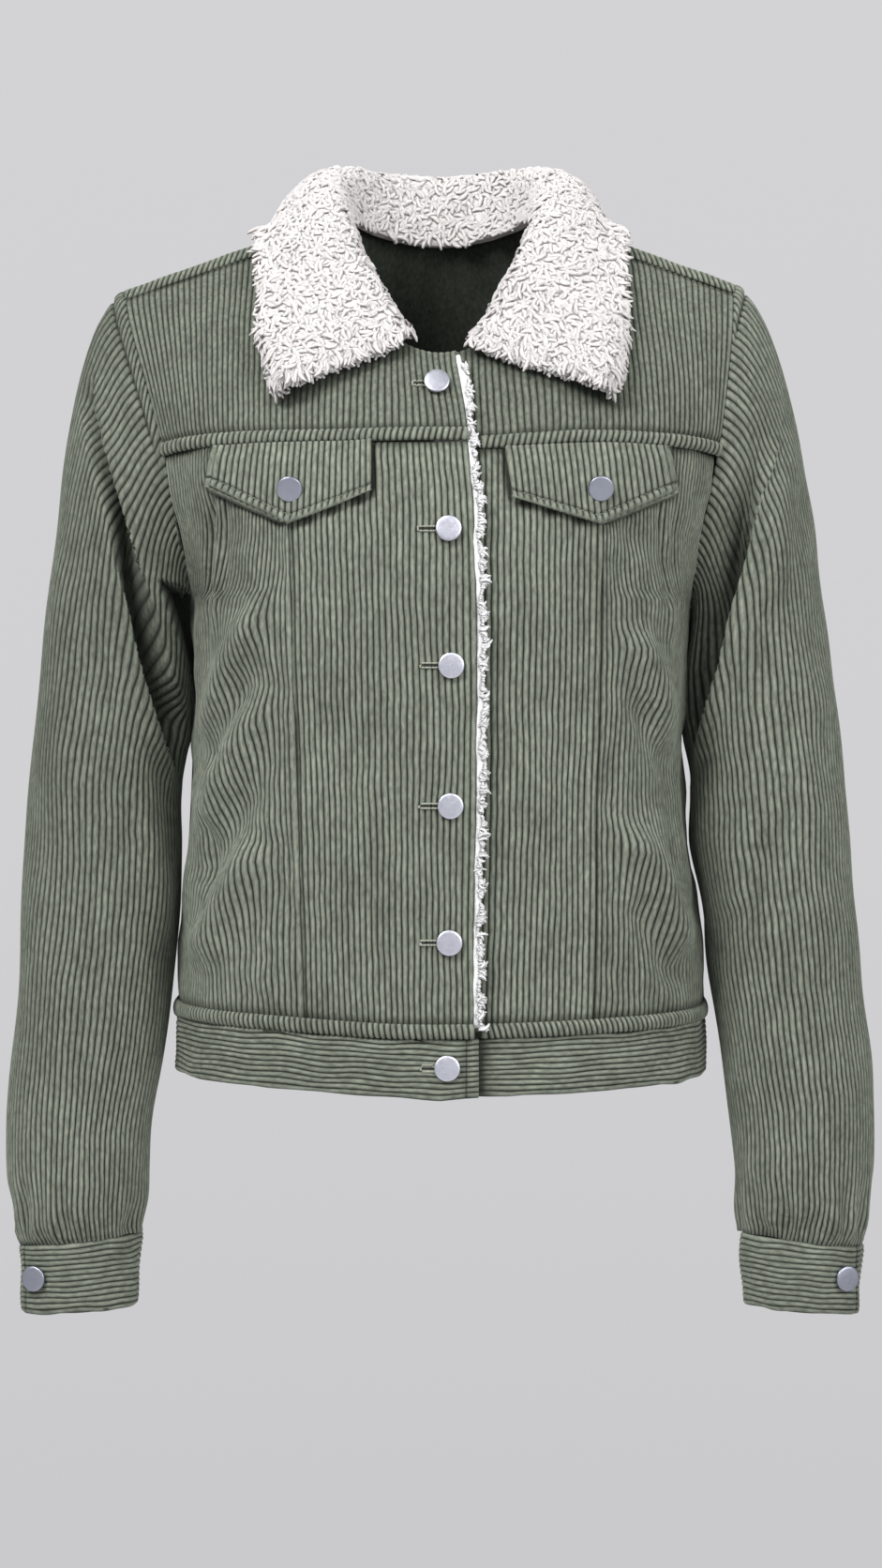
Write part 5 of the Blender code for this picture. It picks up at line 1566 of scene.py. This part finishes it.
def collar_base(columns):
    """The sheet between pile and under collar, from the neck seam over the roll to the leaf's edge."""
    tree = shoulders_tree()
    curves = [column_curve(COLLAR, i) for i in range(1, 9)]
    made = []
    for place in np.linspace(-1.0, 1.0, columns):
        side = "left" if place < 0.0 else "right"
        sign = SIGN[side]
        values = [float(curve(abs(place))) for curve in curves]
        neck = neck_seam(side, values[7])
        fold, leaf = (np.array(values[i:i + 3]) * (sign, 1.0, 1.0) for i in (0, 3))
        leaf[0] *= blend(1.0, SHAPE[side]["tip"], ease(abs(place), 0.6, 1.0))
        if side == "left" and values[7] > 90.0:
            neck, fold = (point + LAP_WAY * lap_lift(point[0]) for point in (neck, fold))
        away = blend(fold, leaf, 0.5) * (1.0, 1.0, 0.0)
        arch = (away / np.linalg.norm(away) * 0.5 + np.array([0.0, 0.0, 0.85])) * values[6]
        stand, fall = fold - neck, leaf - fold
        reach = min(COLLAR_ROUND, 0.8 * np.linalg.norm(stand))
        before = fold - stand / np.linalg.norm(stand) * reach
        share = reach / np.linalg.norm(fall)
        after = fold + fall * share + arch * math.sin(math.pi * share ** 0.8)
        turned = [blend(blend(before, fold, t), blend(fold, after, t), t) for t in even(7)]
        points = [*turned[3:]]
        points += [blend(fold, leaf, share) + arch * math.sin(math.pi * share ** 0.8) for share in LEAF_SHARES]
        column = [neck - stand / np.linalg.norm(stand) * 0.006, neck, blend(neck, turned[0], 0.5), *turned[:3]]
        column += [rest_on(tree, point, COLLAR_REST, point is points[-1]) for point in points]
        made.append(column)
    grid = np.array(made).transpose(1, 0, 2)
    # the front ends hang a little lower than the sheet that they are cut from
    place = np.linspace(-1.0, 1.0, columns)
    outward = unit(unit(np.gradient(grid, axis=1)) * np.sign(place)[None, :, None] - (0.0, 0.0, 1.3))
    row = np.arange(len(grid))
    longer = COLLAR_HANG * ease(row, 0.0, 5.0) * (1.0 - 0.55 * ease(row, 9.0, len(grid) - 1.0))
    longer = longer[:, None] * ease(np.abs(place), 0.84, 1.0)[None, :]
    return grid + outward * longer[:, :, None]


CURL_RINGS, CURL_SIDES = 5, 4
FACING_CURLS = 880


def curl_sizes(chance, count, *ranges):
    """Length, radius and rise of each curl, from a usual size and its least and greatest share for each."""
    return np.stack([usual * chance.uniform(low, high, count) for usual, low, high in ranges], axis=1)


def laid(way, out):
    """The direction across out that is nearest to way."""
    return unit(way - out * (way * out).sum(axis=1, keepdims=True))


def curls(spots, normal, lead, sizes, chance, wildness, shade=(0.7, 1.0)):
    """Many short curled tufts. Each starts and mostly ends in the cloth, and lies along its lead."""
    count, rings, sides = len(spots), CURL_RINGS, CURL_SIDES
    side_way = unit(np.cross(normal, lead))
    length, radius, rise = (sizes[:, i:i + 1] for i in range(3))
    s = even(rings)[None, :]
    chance.uniform(0.0, 2.0 * math.pi, (count, 1))      # not used, but it keeps the draws that follow
    bend = chance.uniform(0.4, 1.0, (count, 1)) * wildness * np.sign(chance.uniform(-1, 1, (count, 1)))
    turn = bend * (s - 0.35) * 2.6
    step = 1.0 / (rings - 1)
    run, off = (np.concatenate([np.zeros((count, 1)), np.cumsum((way[:, 1:] + way[:, :-1]) / 2, axis=1)], 1)
                * step * length for way in (np.cos(turn), np.sin(turn)))
    high = rise * np.sin(math.pi * np.clip(0.08 + s * 0.8, 0, 1)) - radius * 0.5
    path = (spots[:, None, :] + lead[:, None, :] * (run - length * 0.3)[:, :, None]
            + side_way[:, None, :] * off[:, :, None] + normal[:, None, :] * high[:, :, None])
    along = unit(np.gradient(path, axis=1))
    second = unit(np.cross(along, normal[:, None, :] + 0.01))
    third = np.cross(second, along)
    angle = round_turn(sides)[None, None, :, None]
    taper = np.array([0.7, 1.0, 1.05, 0.9, 0.45])[None, :, None, None]
    rounds = path[:, :, None, :] + (second[:, :, None, :] * np.cos(angle) * 1.05
                                    + third[:, :, None, :] * np.sin(angle) * 0.9) \
        * radius[:, :, None, None] * taper
    base = (np.arange(count) * rings * sides)[:, None]
    tubes = (base[:, :, None] + np.array(tube_faces(rings, sides))).reshape(-1, 4)
    faces = np.concatenate([tubes, base + np.arange(sides)[::-1], base + (rings - 1) * sides + np.arange(sides)])
    # Tone: warmer low down between the curls, partly the roots' own colour and partly painted shade, and warmer on each
    # curl's sides and underside as painted shade, times a random tone of its own.
    tone = blend(shade[0], shade[1], np.clip(high / np.maximum(rise, 1e-6), 0.0, 1.0))
    tone = (tone * chance.uniform(0.85, 1.0, (count, 1)))[:, :, None] * np.array([0.8, 1.0, 0.8, 0.6])
    return rounds.reshape(-1, 3), faces, tone.ravel()


def scatter(grid, count, chance):
    """Places spread evenly over a grid of points: point, normal, and the way up along the rows."""
    normal = normals_of(grid)
    up = unit(np.gradient(grid, axis=0))
    a = grid[1:, 1:] - grid[:-1, :-1]
    b = grid[1:, :-1] - grid[:-1, 1:]
    area = np.linalg.norm(np.cross(a, b), axis=2).ravel()
    edges = np.cumsum(area) / area.sum()
    places = (np.arange(count) + chance.uniform(0.0, 1.0, count)) / count
    cell = np.searchsorted(edges, places)
    r, c = np.unravel_index(np.minimum(cell, len(area) - 1), (grid.shape[0] - 1, grid.shape[1] - 1))
    u, v = chance.uniform(0.0, 1.0, (2, count, 1))

    def at(values):
        return (values[r, c] * (1 - u) * (1 - v) + values[r, c + 1] * u * (1 - v)
                + values[r + 1, c] * (1 - u) * v + values[r + 1, c + 1] * u * v)

    rows = r + v[:, 0]
    columns = c + u[:, 0]
    return at(grid), unit(at(normal)), unit(at(up)), rows / (grid.shape[0] - 1), columns / (grid.shape[1] - 1)


def joined(parts):
    """Several lots of points, faces and shades as one."""
    points, faces, tones, base = [], [], [], 0
    for part_points, part_faces, part_tones in parts:
        points.append(part_points)
        faces += [tuple(face) for face in (np.asarray(part_faces) + base).tolist()]
        tones.append(part_tones)
        base += len(part_points)
    return np.concatenate(points), faces, np.concatenate(tones)


class MakeCollar(bpy.types.Operator):
    """Make the curled pile collar and the corduroy under it"""

    bl_idname = "jacket.make_collar"
    bl_label = "Collar"

    def execute(self, context):
        pile = context.scene.jacket_pile
        chance = np.random.default_rng(7)
        base = collar_base(111)
        normal = normals_of(base)
        shell = lumpy(base + normal * pile.shell, 0.0006, 0.012, 101)
        backing = cloth_piece("pile_collar_backing", shell, 0.55, pile.shell, every=(1, 1), kind="pile",
                              replaces=("collar",), relief=0.0)
        spots, out, up, rows, columns = scatter(shell, pile.curls, chance)
        spread_way = unit(np.cross(out, unit(chance.normal(size=out.shape))))
        edge = np.maximum(ease(rows, 0.86, 1.0), np.maximum(ease(columns, 0.95, 1.0), ease(-columns, -0.05, 0.0)))
        ends = unit(np.gradient(shell, axis=1))
        away = np.where((columns > 0.5)[:, None], 1.0, -1.0) * ends[-1, np.minimum((columns * 110).astype(int), 110)]
        away = unit(away - (0.0, 0.0, 0.8))
        lead = unit(spread_way + up * (0.35 + 1.6 * ease(rows, 0.86, 1.0))[:, None]
                    + away * (1.6 * np.maximum(ease(columns, 0.955, 1.0), ease(-columns, -0.045, 0.0)))[:, None])
        lead = laid(lead, out)
        sizes = curl_sizes(chance, len(spots), (pile.curl_length, 0.8, 1.3), (pile.curl_radius, 0.8, 1.15),
                           (0.0016, 0.6, 1.2))
        sizes[:, 0] *= 1.0 + 0.25 * edge
        made = curls(spots, out, lead, sizes, chance, 0.8)
        more, more_out = self.edge_curls(shell, pile, chance)
        tufts = add_piece("pile_collar_curls", *joined([made, more]), "pile")
        set_out(tufts, np.repeat(np.concatenate([out, more_out]), CURL_RINGS * CURL_SIDES, axis=0))
        declare_cloth(backing, shell)
        under = (base - normal * COLLAR_LAYER)[1:]
        shares, ribs = wales(wale_count(0.5))
        dense = even(under.shape[1])
        under = np.stack([picked(shares, dense, row) for row in under])
        sewn("cloth_under_collar", under, ribs[None, :] * 0.8, 0.0012, replaces=("under_collar",), relief=0.0004)
        return {"FINISHED"}

    def edge_curls(self, shell, pile, chance):
        """Tufts that stand out of the leaf's edge and the front ends, over the whole thickness of the pile."""
        normal = normals_of(shell)
        down, across = unit(np.gradient(shell, axis=0)), unit(np.gradient(shell, axis=1))
        lines = [(shell[-1], normal[-1], down[-1], across[-1], 620),
                 (shell[8:, 0], normal[8:, 0], -across[8:, 0] - (0.0, 0.0, 1.2), down[8:, 0], 170),
                 (shell[8:, -1], normal[8:, -1], across[8:, -1] - (0.0, 0.0, 1.2), down[8:, -1], 170)]
        spots, outs, leads = [], [], []
        for edge, out, away, beside, count in lines:
            reach = reach_along(edge)
            at = np.sort(chance.uniform(0.0, reach[-1], count))
            pick = lambda values: picked(at, reach, values)
            out, away, beside = unit(pick(out)), unit(pick(away)), unit(pick(beside))
            deep = chance.uniform(0.0, 0.9, (count, 1))
            spots.append(pick(edge) - out * pile.shell * deep - away * 0.001)
            lead = unit(away + beside * chance.normal(0.0, 0.45, (count, 1))
                        + out * chance.normal(0.1, 0.2, (count, 1)))
            leads.append(lead)
            outs.append(laid(out, lead))
        spots, outs, leads = (np.concatenate(part) for part in (spots, outs, leads))
        sizes = curl_sizes(chance, len(spots), (pile.curl_length, 0.85, 1.3), (pile.curl_radius, 0.8, 1.05),
                           (0.0016, 0.3, 1.2))
        facing = unit(outs + leads * 0.4)
        return curls(spots, outs, leads, sizes, chance, 0.65, shade=(0.62, 1.0)), facing


class MakeFacing(bpy.types.Operator):
    """Make the pile facing whose curls show past the upper front's edge"""

    bl_idname = "jacket.make_facing"
    bl_label = "Pile facing"

    def execute(self, context):
        chance = np.random.default_rng(17)
        bottom = HEM_LEVEL - HEM_DIP + ROLL_HEIGHT * 0.75
        rows = []
        for z in np.linspace(bottom, FACING_TOP, 90):
            edge = float(front_edge_at(z)) + 0.0018 + 0.0012 * float(ease(-z, 0.13, 0.17))
            edge += 0.0014 * math.sin(z * 260.0) * math.sin(z * 97.0)
            rows.append([front_point(x, z) for x in (-0.004, 0.004, edge - 0.0062, edge - 0.0024, edge)])
        grid = np.array(rows)
        grid = raised(grid, np.array([[0.0036, 0.0036, 0.0036, 0.0056, 0.0064]]))
        backing = cloth_piece("pile_facing_backing", grid, 0.9, 0.0024, every=(1, 1), kind="edge_pile",
                              replaces=("front_facing",), relief=0.0)
        edge = grid[:, -1]
        count = FACING_CURLS
        place = np.sort(chance.uniform(0.0, 0.984, count)) * (len(edge) - 1)
        low = np.minimum(place.astype(int), len(edge) - 2)
        share = (place - low)[:, None]
        spots = edge[low] * (1 - share) + edge[low + 1] * share
        out = np.tile(unit(np.array([0.25, -1.0, 0.0])), (count, 1))
        clump = 0.66 + 0.4 * np.sin(spots[:, 2] * 520.0 + 2.0 * np.sin(spots[:, 2] * 140.0))
        way = np.stack([np.ones(count), np.zeros(count), chance.normal(0.0, 0.65, count)], axis=1)
        lead = laid(way, out)
        spots = spots + out * chance.uniform(-0.0012, 0.0018, (count, 1))
        sizes = curl_sizes(chance, count, (0.0068, 0.7, 1.25), (0.0008, 0.8, 1.2), (0.0011, 0.4, 1.2))
        sizes[:, 0] *= clump
        made = curls(spots, out, lead, sizes, chance, 0.9, shade=(0.8, 1.0))
        tufts = add_piece("pile_facing_curls", *joined([made]), "edge_pile")
        set_out(tufts, np.repeat(out, CURL_RINGS * CURL_SIDES, axis=0))
        declare_cloth(backing, grid)
        return {"FINISHED"}


# ---- stitching and buttons
def surface_hit(tree, x, z):
    """The first place of a surface that a look along +Y meets, and the outward direction there."""
    spot, normal, _, _ = tree.ray_cast(Vector((x, -0.5, z)), Vector((0.0, 1.0, 0.0)))
    if spot is None:
        raise RuntimeError(f"no cloth at {x:.3f}, {z:.3f}")
    return np.array(spot), np.array(normal)


def tree_of(*names):
    """One surface of several pieces."""
    verts, faces = [], []
    for name in names:
        mesh = bpy.data.objects[name].data
        base = len(verts)
        verts += [vertex.co for vertex in mesh.vertices]
        faces += [[base + i for i in face.vertices] for face in mesh.polygons]
    return BVHTree.FromPolygons(verts, faces)


def stitches(lines, tree, length=0.0022, gap=0.0009, radius=0.00028, lift=0.0):
    """Short raised stitches along lines of x and z that lie on a surface."""
    parts = []
    for line in lines:
        line = np.array(line)
        reach = reach_along(line)
        for start in np.arange(0.0, reach[-1] - length, length + gap):
            at = start + length * even(5)
            hits = [surface_hit(tree, *(np.interp(d, reach, line[:, k]) for k in (0, 1))) for d in at]
            spots, outs = (np.array(part) for part in zip(*hits))
            spots = spots + outs * (lift + radius * np.array([-0.6, 0.7, 1.0, 0.7, -0.6]))[:, None]
            along = unit(np.gradient(spots, axis=0))
            second = unit(np.cross(along, outs))
            third = np.cross(second, along)
            angle = round_turn(6)
            ring = spots[:, None] + (second[:, None] * np.cos(angle)[None, :, None]
                                     + third[:, None] * np.sin(angle)[None, :, None]) * radius
            parts.append((ring.reshape(-1, 3), np.array(tube_faces(5, 6)), np.ones(30)))
    return joined(parts)


def tube_faces(rings, sides):
    return [(r * sides + k, r * sides + (k + 1) % sides, (r + 1) * sides + (k + 1) % sides, (r + 1) * sides + k)
            for r in range(rings - 1) for k in range(sides)]


class MakeStitching(bpy.types.Operator):
    """Make the visible stitching of the flaps and the buttonholes"""

    bl_idname = "jacket.make_stitching"
    bl_label = "Stitching"

    def execute(self, context):
        for side in SIGN:
            sign = SIGN[side]
            corners = np.array(flap_corners(side))
            inset = self.inset(corners, 0.0052)[1:4] * (sign, 1.0)
            made = stitches([inset], tree_of(f"cloth_flap_{side}"), 0.002, 0.001, 0.00022)
            add_piece(f"thread_flap_{side}", *made, "thread")
        fronts = tree_of("cloth_centre_left", "cloth_yoke_left", "cloth_hem_band")
        slits = [(x - reach, x - 0.005, z) for (x, z), reach in zip(FRONT_BUTTONS, BUTTONHOLES)]
        holes = []
        for start, end, z in slits:
            holes += [((start + 0.0008, z + high), (end, z + high)) for high in (0.0013, -0.0013)]
            holes.append(((start, z - 0.0012), (start, z + 0.0012)))
        made = stitches(holes, fronts, 0.0011, 0.0002, 0.00062, 0.0004)
        # the slits: threads darkened by SLIT_SHADE as painted shadow
        points, faces, tones = stitches([((start + 0.0006, z), (end, z)) for start, end, z in slits], fronts, 0.003,
                                        0.0, 0.00055, 0.0001)
        add_piece("thread_buttonholes", *joined([made, (points, faces, tones * SLIT_SHADE)]), "thread")
        return {"FINISHED"}

    def inset(self, corners, distance):
        """The flap's outline moved inwards."""
        moved = [corners[0]]
        for before, here, after in zip(corners[:-2], corners[1:-1], corners[2:]):
            a, b = unit(here - before), unit(after - here)
            normal_a, normal_b = np.array([-a[1], a[0]]), np.array([-b[1], b[0]])
            middle = unit(normal_a + normal_b)
            side = -1.0 if np.dot(middle, np.mean(corners, axis=0) - here) < 0.0 else 1.0
            moved.append(here + middle * side * distance / max(0.3, abs(np.dot(middle, normal_a))))
        moved.append(corners[-1])
        return np.array(moved)


# Painted light and shade: each listed button's colour is scaled for the light that its face catches.
BUTTON_SHADES = {"button_front_1": 0.58, "button_front_2": 0.86, "button_flap_left": 1.1, "button_flap_right": 1.0,
                 "button_cuff_right": 0.85}
BUTTON_SIDES = 56
# Radius and height of each ring, as shares of the button's own, and its shade: painted shade, dark round the foot and
# down the rim's side, full on the dome.
BUTTON_PROFILE = ((0.3, -0.3, 0.6), (0.8, -0.05, 0.2), (0.93, 0.05, 0.2), (1.0, 0.34, 0.3), (1.0, 0.6, 0.4),
                  (0.975, 0.8, 0.75), (0.93, 0.9, 1.0), (0.8, 0.94, 1.0), (0.55, 0.975, 1.0), (0.3, 0.995, 1.0),
                  (0.1, 1.0, 1.0))


def add_button(name, centre, outward, kind, shade):
    """A turned metal button with a rounded rim round a low dome, whose back stands at centre."""
    settings = bpy.context.scene.jacket_button
    sides = BUTTON_SIDES
    turn = round_turn(sides)
    frame_way = np.array(Vector(outward).to_track_quat("Z", "Y").to_matrix())
    rings, tones = [], []
    for radius, height, tone in BUTTON_PROFILE:
        local = np.stack([settings.radius * radius * np.cos(turn), settings.radius * radius * np.sin(turn),
                          np.full(sides, settings.depth * height)], axis=1)
        rings.append(local @ frame_way.T + centre)
        tones.append(np.full(sides, tone * shade))
    faces = tube_faces(len(rings), sides)
    faces.append(tuple(range(sides))[::-1])
    faces.append(tuple(range((len(rings) - 1) * sides, len(rings) * sides)))
    return add_piece(name, np.array(rings), faces, np.concatenate(tones), kind, (name[6:],))


class MakeButtons(bpy.types.Operator):
    """Make the metal buttons of the front, the flaps and the cuffs"""

    bl_idname = "jacket.make_buttons"
    bl_label = "Buttons"

    def execute(self, context):
        for number in range(1, 7):
            self.add(f"button_front_{number}", "front_metal")
        for side in SIGN:
            self.add(f"button_flap_{side}", "small_metal")
            self.add(f"button_cuff_{side}", "small_metal")
        return {"FINISHED"}

    def add(self, node, kind):
        """A button where its node's lies: the node's mesh gives the place and the way it faces."""
        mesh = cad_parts[node].data
        points = np.array([vertex.co[:] for vertex in mesh.vertices])
        centre = points.mean(axis=0)
        _, _, ways = np.linalg.svd(points - centre)
        outward = ways[2]
        away = centre - np.array([math.copysign(0.2, centre[0]) if "cuff" in node else centre[0], 0.0, centre[2]])
        if np.dot(outward, away) < 0.0:
            outward = -outward
        heights = (points - centre) @ outward
        foot = centre + outward * heights.min()
        if "flap" in node:
            outward = unit(outward * (0.3, 1.0, 0.0) - (0.0, 0.0, 0.3))
            foot = foot + np.array([0.0, -0.003, -0.0004])
        if node == "button_front_1" or "cuff" in node:
            outward = unit(outward - (0.0, 0.55, 0.0))
            foot = foot + outward * 0.001
        add_button(f"metal_{node}", foot, outward, kind, BUTTON_SHADES.get(node, 1.0))


# ---- studio
CAMERA_PLACE = (0.0, -3.0, -0.3555)
CAMERA_REACH = 5172.0 / 1672.0    # distance over the height that the camera sees there
LOOK_AT = (0.0, 0.0, -0.32)
FLOOR_SIDES = 96
FLOOR_RADII = (0.5, 1.5, 3.0)


class MakeStudio(bpy.types.Operator):
    """Make the floor, the surround, the lights and the camera"""

    bl_idname = "jacket.make_studio"
    bl_label = "Studio"

    def execute(self, context):
        studio = context.scene.jacket_studio
        context.scene.view_settings.view_transform = "Standard"
        self.add_floor(studio)
        self.add_surround(studio)
        self.add_light("key_light", studio.key_power, 1.3, (-1.7, -2.3, 2.2))
        self.add_light("fill_light", studio.fill_power, 2.2, (2.3, -2.6, 1.1))
        self.add_light("top_light", studio.top_power, 1.8, (0.2, 1.4, 2.2))
        camera = bpy.data.cameras.new("camera")
        camera.sensor_fit = "VERTICAL"
        camera.sensor_height = 36.0
        camera.lens = CAMERA_REACH * 36.0
        camera.clip_start = 0.05
        holder = placed("camera", camera)
        holder.location = CAMERA_PLACE
        holder.rotation_euler = (math.pi / 2.0, 0.0, 0.0)
        context.scene.camera = holder
        return {"FINISHED"}

    def add_floor(self, studio):
        """A wide pale disc."""
        turn = round_turn(FLOOR_SIDES)
        rings = [np.stack([radius * np.cos(turn), radius * np.sin(turn), np.full(FLOOR_SIDES, studio.floor_level)],
                          axis=1) for radius in FLOOR_RADII]
        faces = [tuple(range(FLOOR_SIDES))] + [face[::-1] for face in tube_faces(len(rings), FLOOR_SIDES)]
        mesh = bpy.data.meshes.new("floor")
        mesh.from_pydata(np.concatenate(rings).tolist(), [], faces)
        made, tree, shader = new_material("floor_paint")
        place = object_place(tree)
        tree.links.new(colour_ramp(tree, spread_noise(tree, place, 3.0, 0.0, 1.0),
                                   ((0.0, (0.5, 0.5, 0.51)), (1.0, (0.54, 0.54, 0.55)))),
                       shader.inputs["Base Color"])
        shader.inputs["Roughness"].default_value = 0.8
        mesh.materials.append(made)
        placed("floor", mesh)

    def add_surround(self, studio):
        """A pale room that is a little darker towards the floor."""
        world = bpy.data.worlds.new("surround")
        world.use_nodes = True
        bpy.context.scene.world = world
        tree = world.node_tree
        way = add_node(tree, "ShaderNodeTexCoord").outputs["Generated"]
        height = add_node(tree, "ShaderNodeSeparateXYZ", {"Vector": way}).outputs["Z"]
        fit = add_node(tree, "ShaderNodeMapRange", {"Value": height, "From Min": -0.17, "From Max": 0.17})
        colour = colour_ramp(tree, fit.outputs["Result"], ((0.0, (0.9, 0.898, 0.92)), (0.5, (0.985, 0.978, 1.0)),
                                                           (1.0, (1.0, 0.99, 1.02))))
        seen = add_node(tree, "ShaderNodeLightPath").outputs["Is Camera Ray"]
        strength = add_node(tree, "ShaderNodeMapRange", {"Value": seen, "To Min": studio.ambient,
                                                         "To Max": studio.surround})
        back = tree.nodes["Background"]
        tree.links.new(colour, back.inputs["Color"])
        tree.links.new(strength.outputs["Result"], back.inputs["Strength"])

    def add_light(self, name, power, size, place):
        """A large square light that looks at the middle of the jacket."""
        light = bpy.data.lights.new(name, "AREA")
        light.energy = power
        light.size = size
        holder = placed(name, light)
        look = (Vector(LOOK_AT) - Vector(place)).to_track_quat("-Z", "Y")
        holder.matrix_world = Matrix.Translation(Vector(place)) @ look.to_matrix().to_4x4()
        holder.visible_camera = False


# ---- panel and running
class JacketPanel(bpy.types.Panel):
    """Lists the steps that make the jacket, with their settings"""

    bl_idname = "VIEW3D_PT_corduroy_jacket"
    bl_label = "Corduroy jacket"
    bl_space_type = "VIEW_3D"
    bl_region_type = "UI"
    bl_category = "Jacket"

    def draw(self, context):
        for group in ("jacket_cloth", "jacket_pile", "jacket_button", "jacket_studio"):
            box = self.layout.box()
            settings = getattr(context.scene, group)
            for name in settings.__annotations__:
                box.prop(settings, name)
        for operator in OPERATORS:
            self.layout.operator(operator.bl_idname)


GROUPS = {"jacket_cloth": JacketClothSettings, "jacket_pile": JacketPileSettings,
          "jacket_button": JacketButtonSettings, "jacket_studio": JacketStudioSettings}
OPERATORS = (MakeStudio, MakeFronts, MakeYokes, MakeBack, MakeHemBand, MakeRolledSeams, MakeSleeves, MakeCuffs,
             MakeFlaps, MakeCollar, MakeFacing, MakeStitching, MakeButtons)


def register():
    for made in (*GROUPS.values(), *OPERATORS, JacketPanel):
        bpy.utils.register_class(made)
    for name, group in GROUPS.items():
        setattr(bpy.types.Scene, name, PointerProperty(type=group))


def unregister():
    for name in GROUPS:
        delattr(bpy.types.Scene, name)
    for made in (JacketPanel, *OPERATORS[::-1], *list(GROUPS.values())[::-1]):
        bpy.utils.unregister_class(made)


def main():
    register()
    bpy.ops.jacket.make_studio()
    bpy.ops.jacket.make_fronts()
    bpy.ops.jacket.make_yokes()
    bpy.ops.jacket.make_back()
    bpy.ops.jacket.make_hem_band()
    bpy.ops.jacket.make_rolled_seams()
    bpy.ops.jacket.make_sleeves()
    bpy.ops.jacket.make_cuffs()
    bpy.ops.jacket.make_flaps()
    bpy.ops.jacket.make_collar()
    bpy.ops.jacket.make_facing()
    bpy.ops.jacket.make_stitching()
    bpy.ops.jacket.make_buttons()
    bpy.context.view_layer.update()


if __name__ == "__main__":
    main()
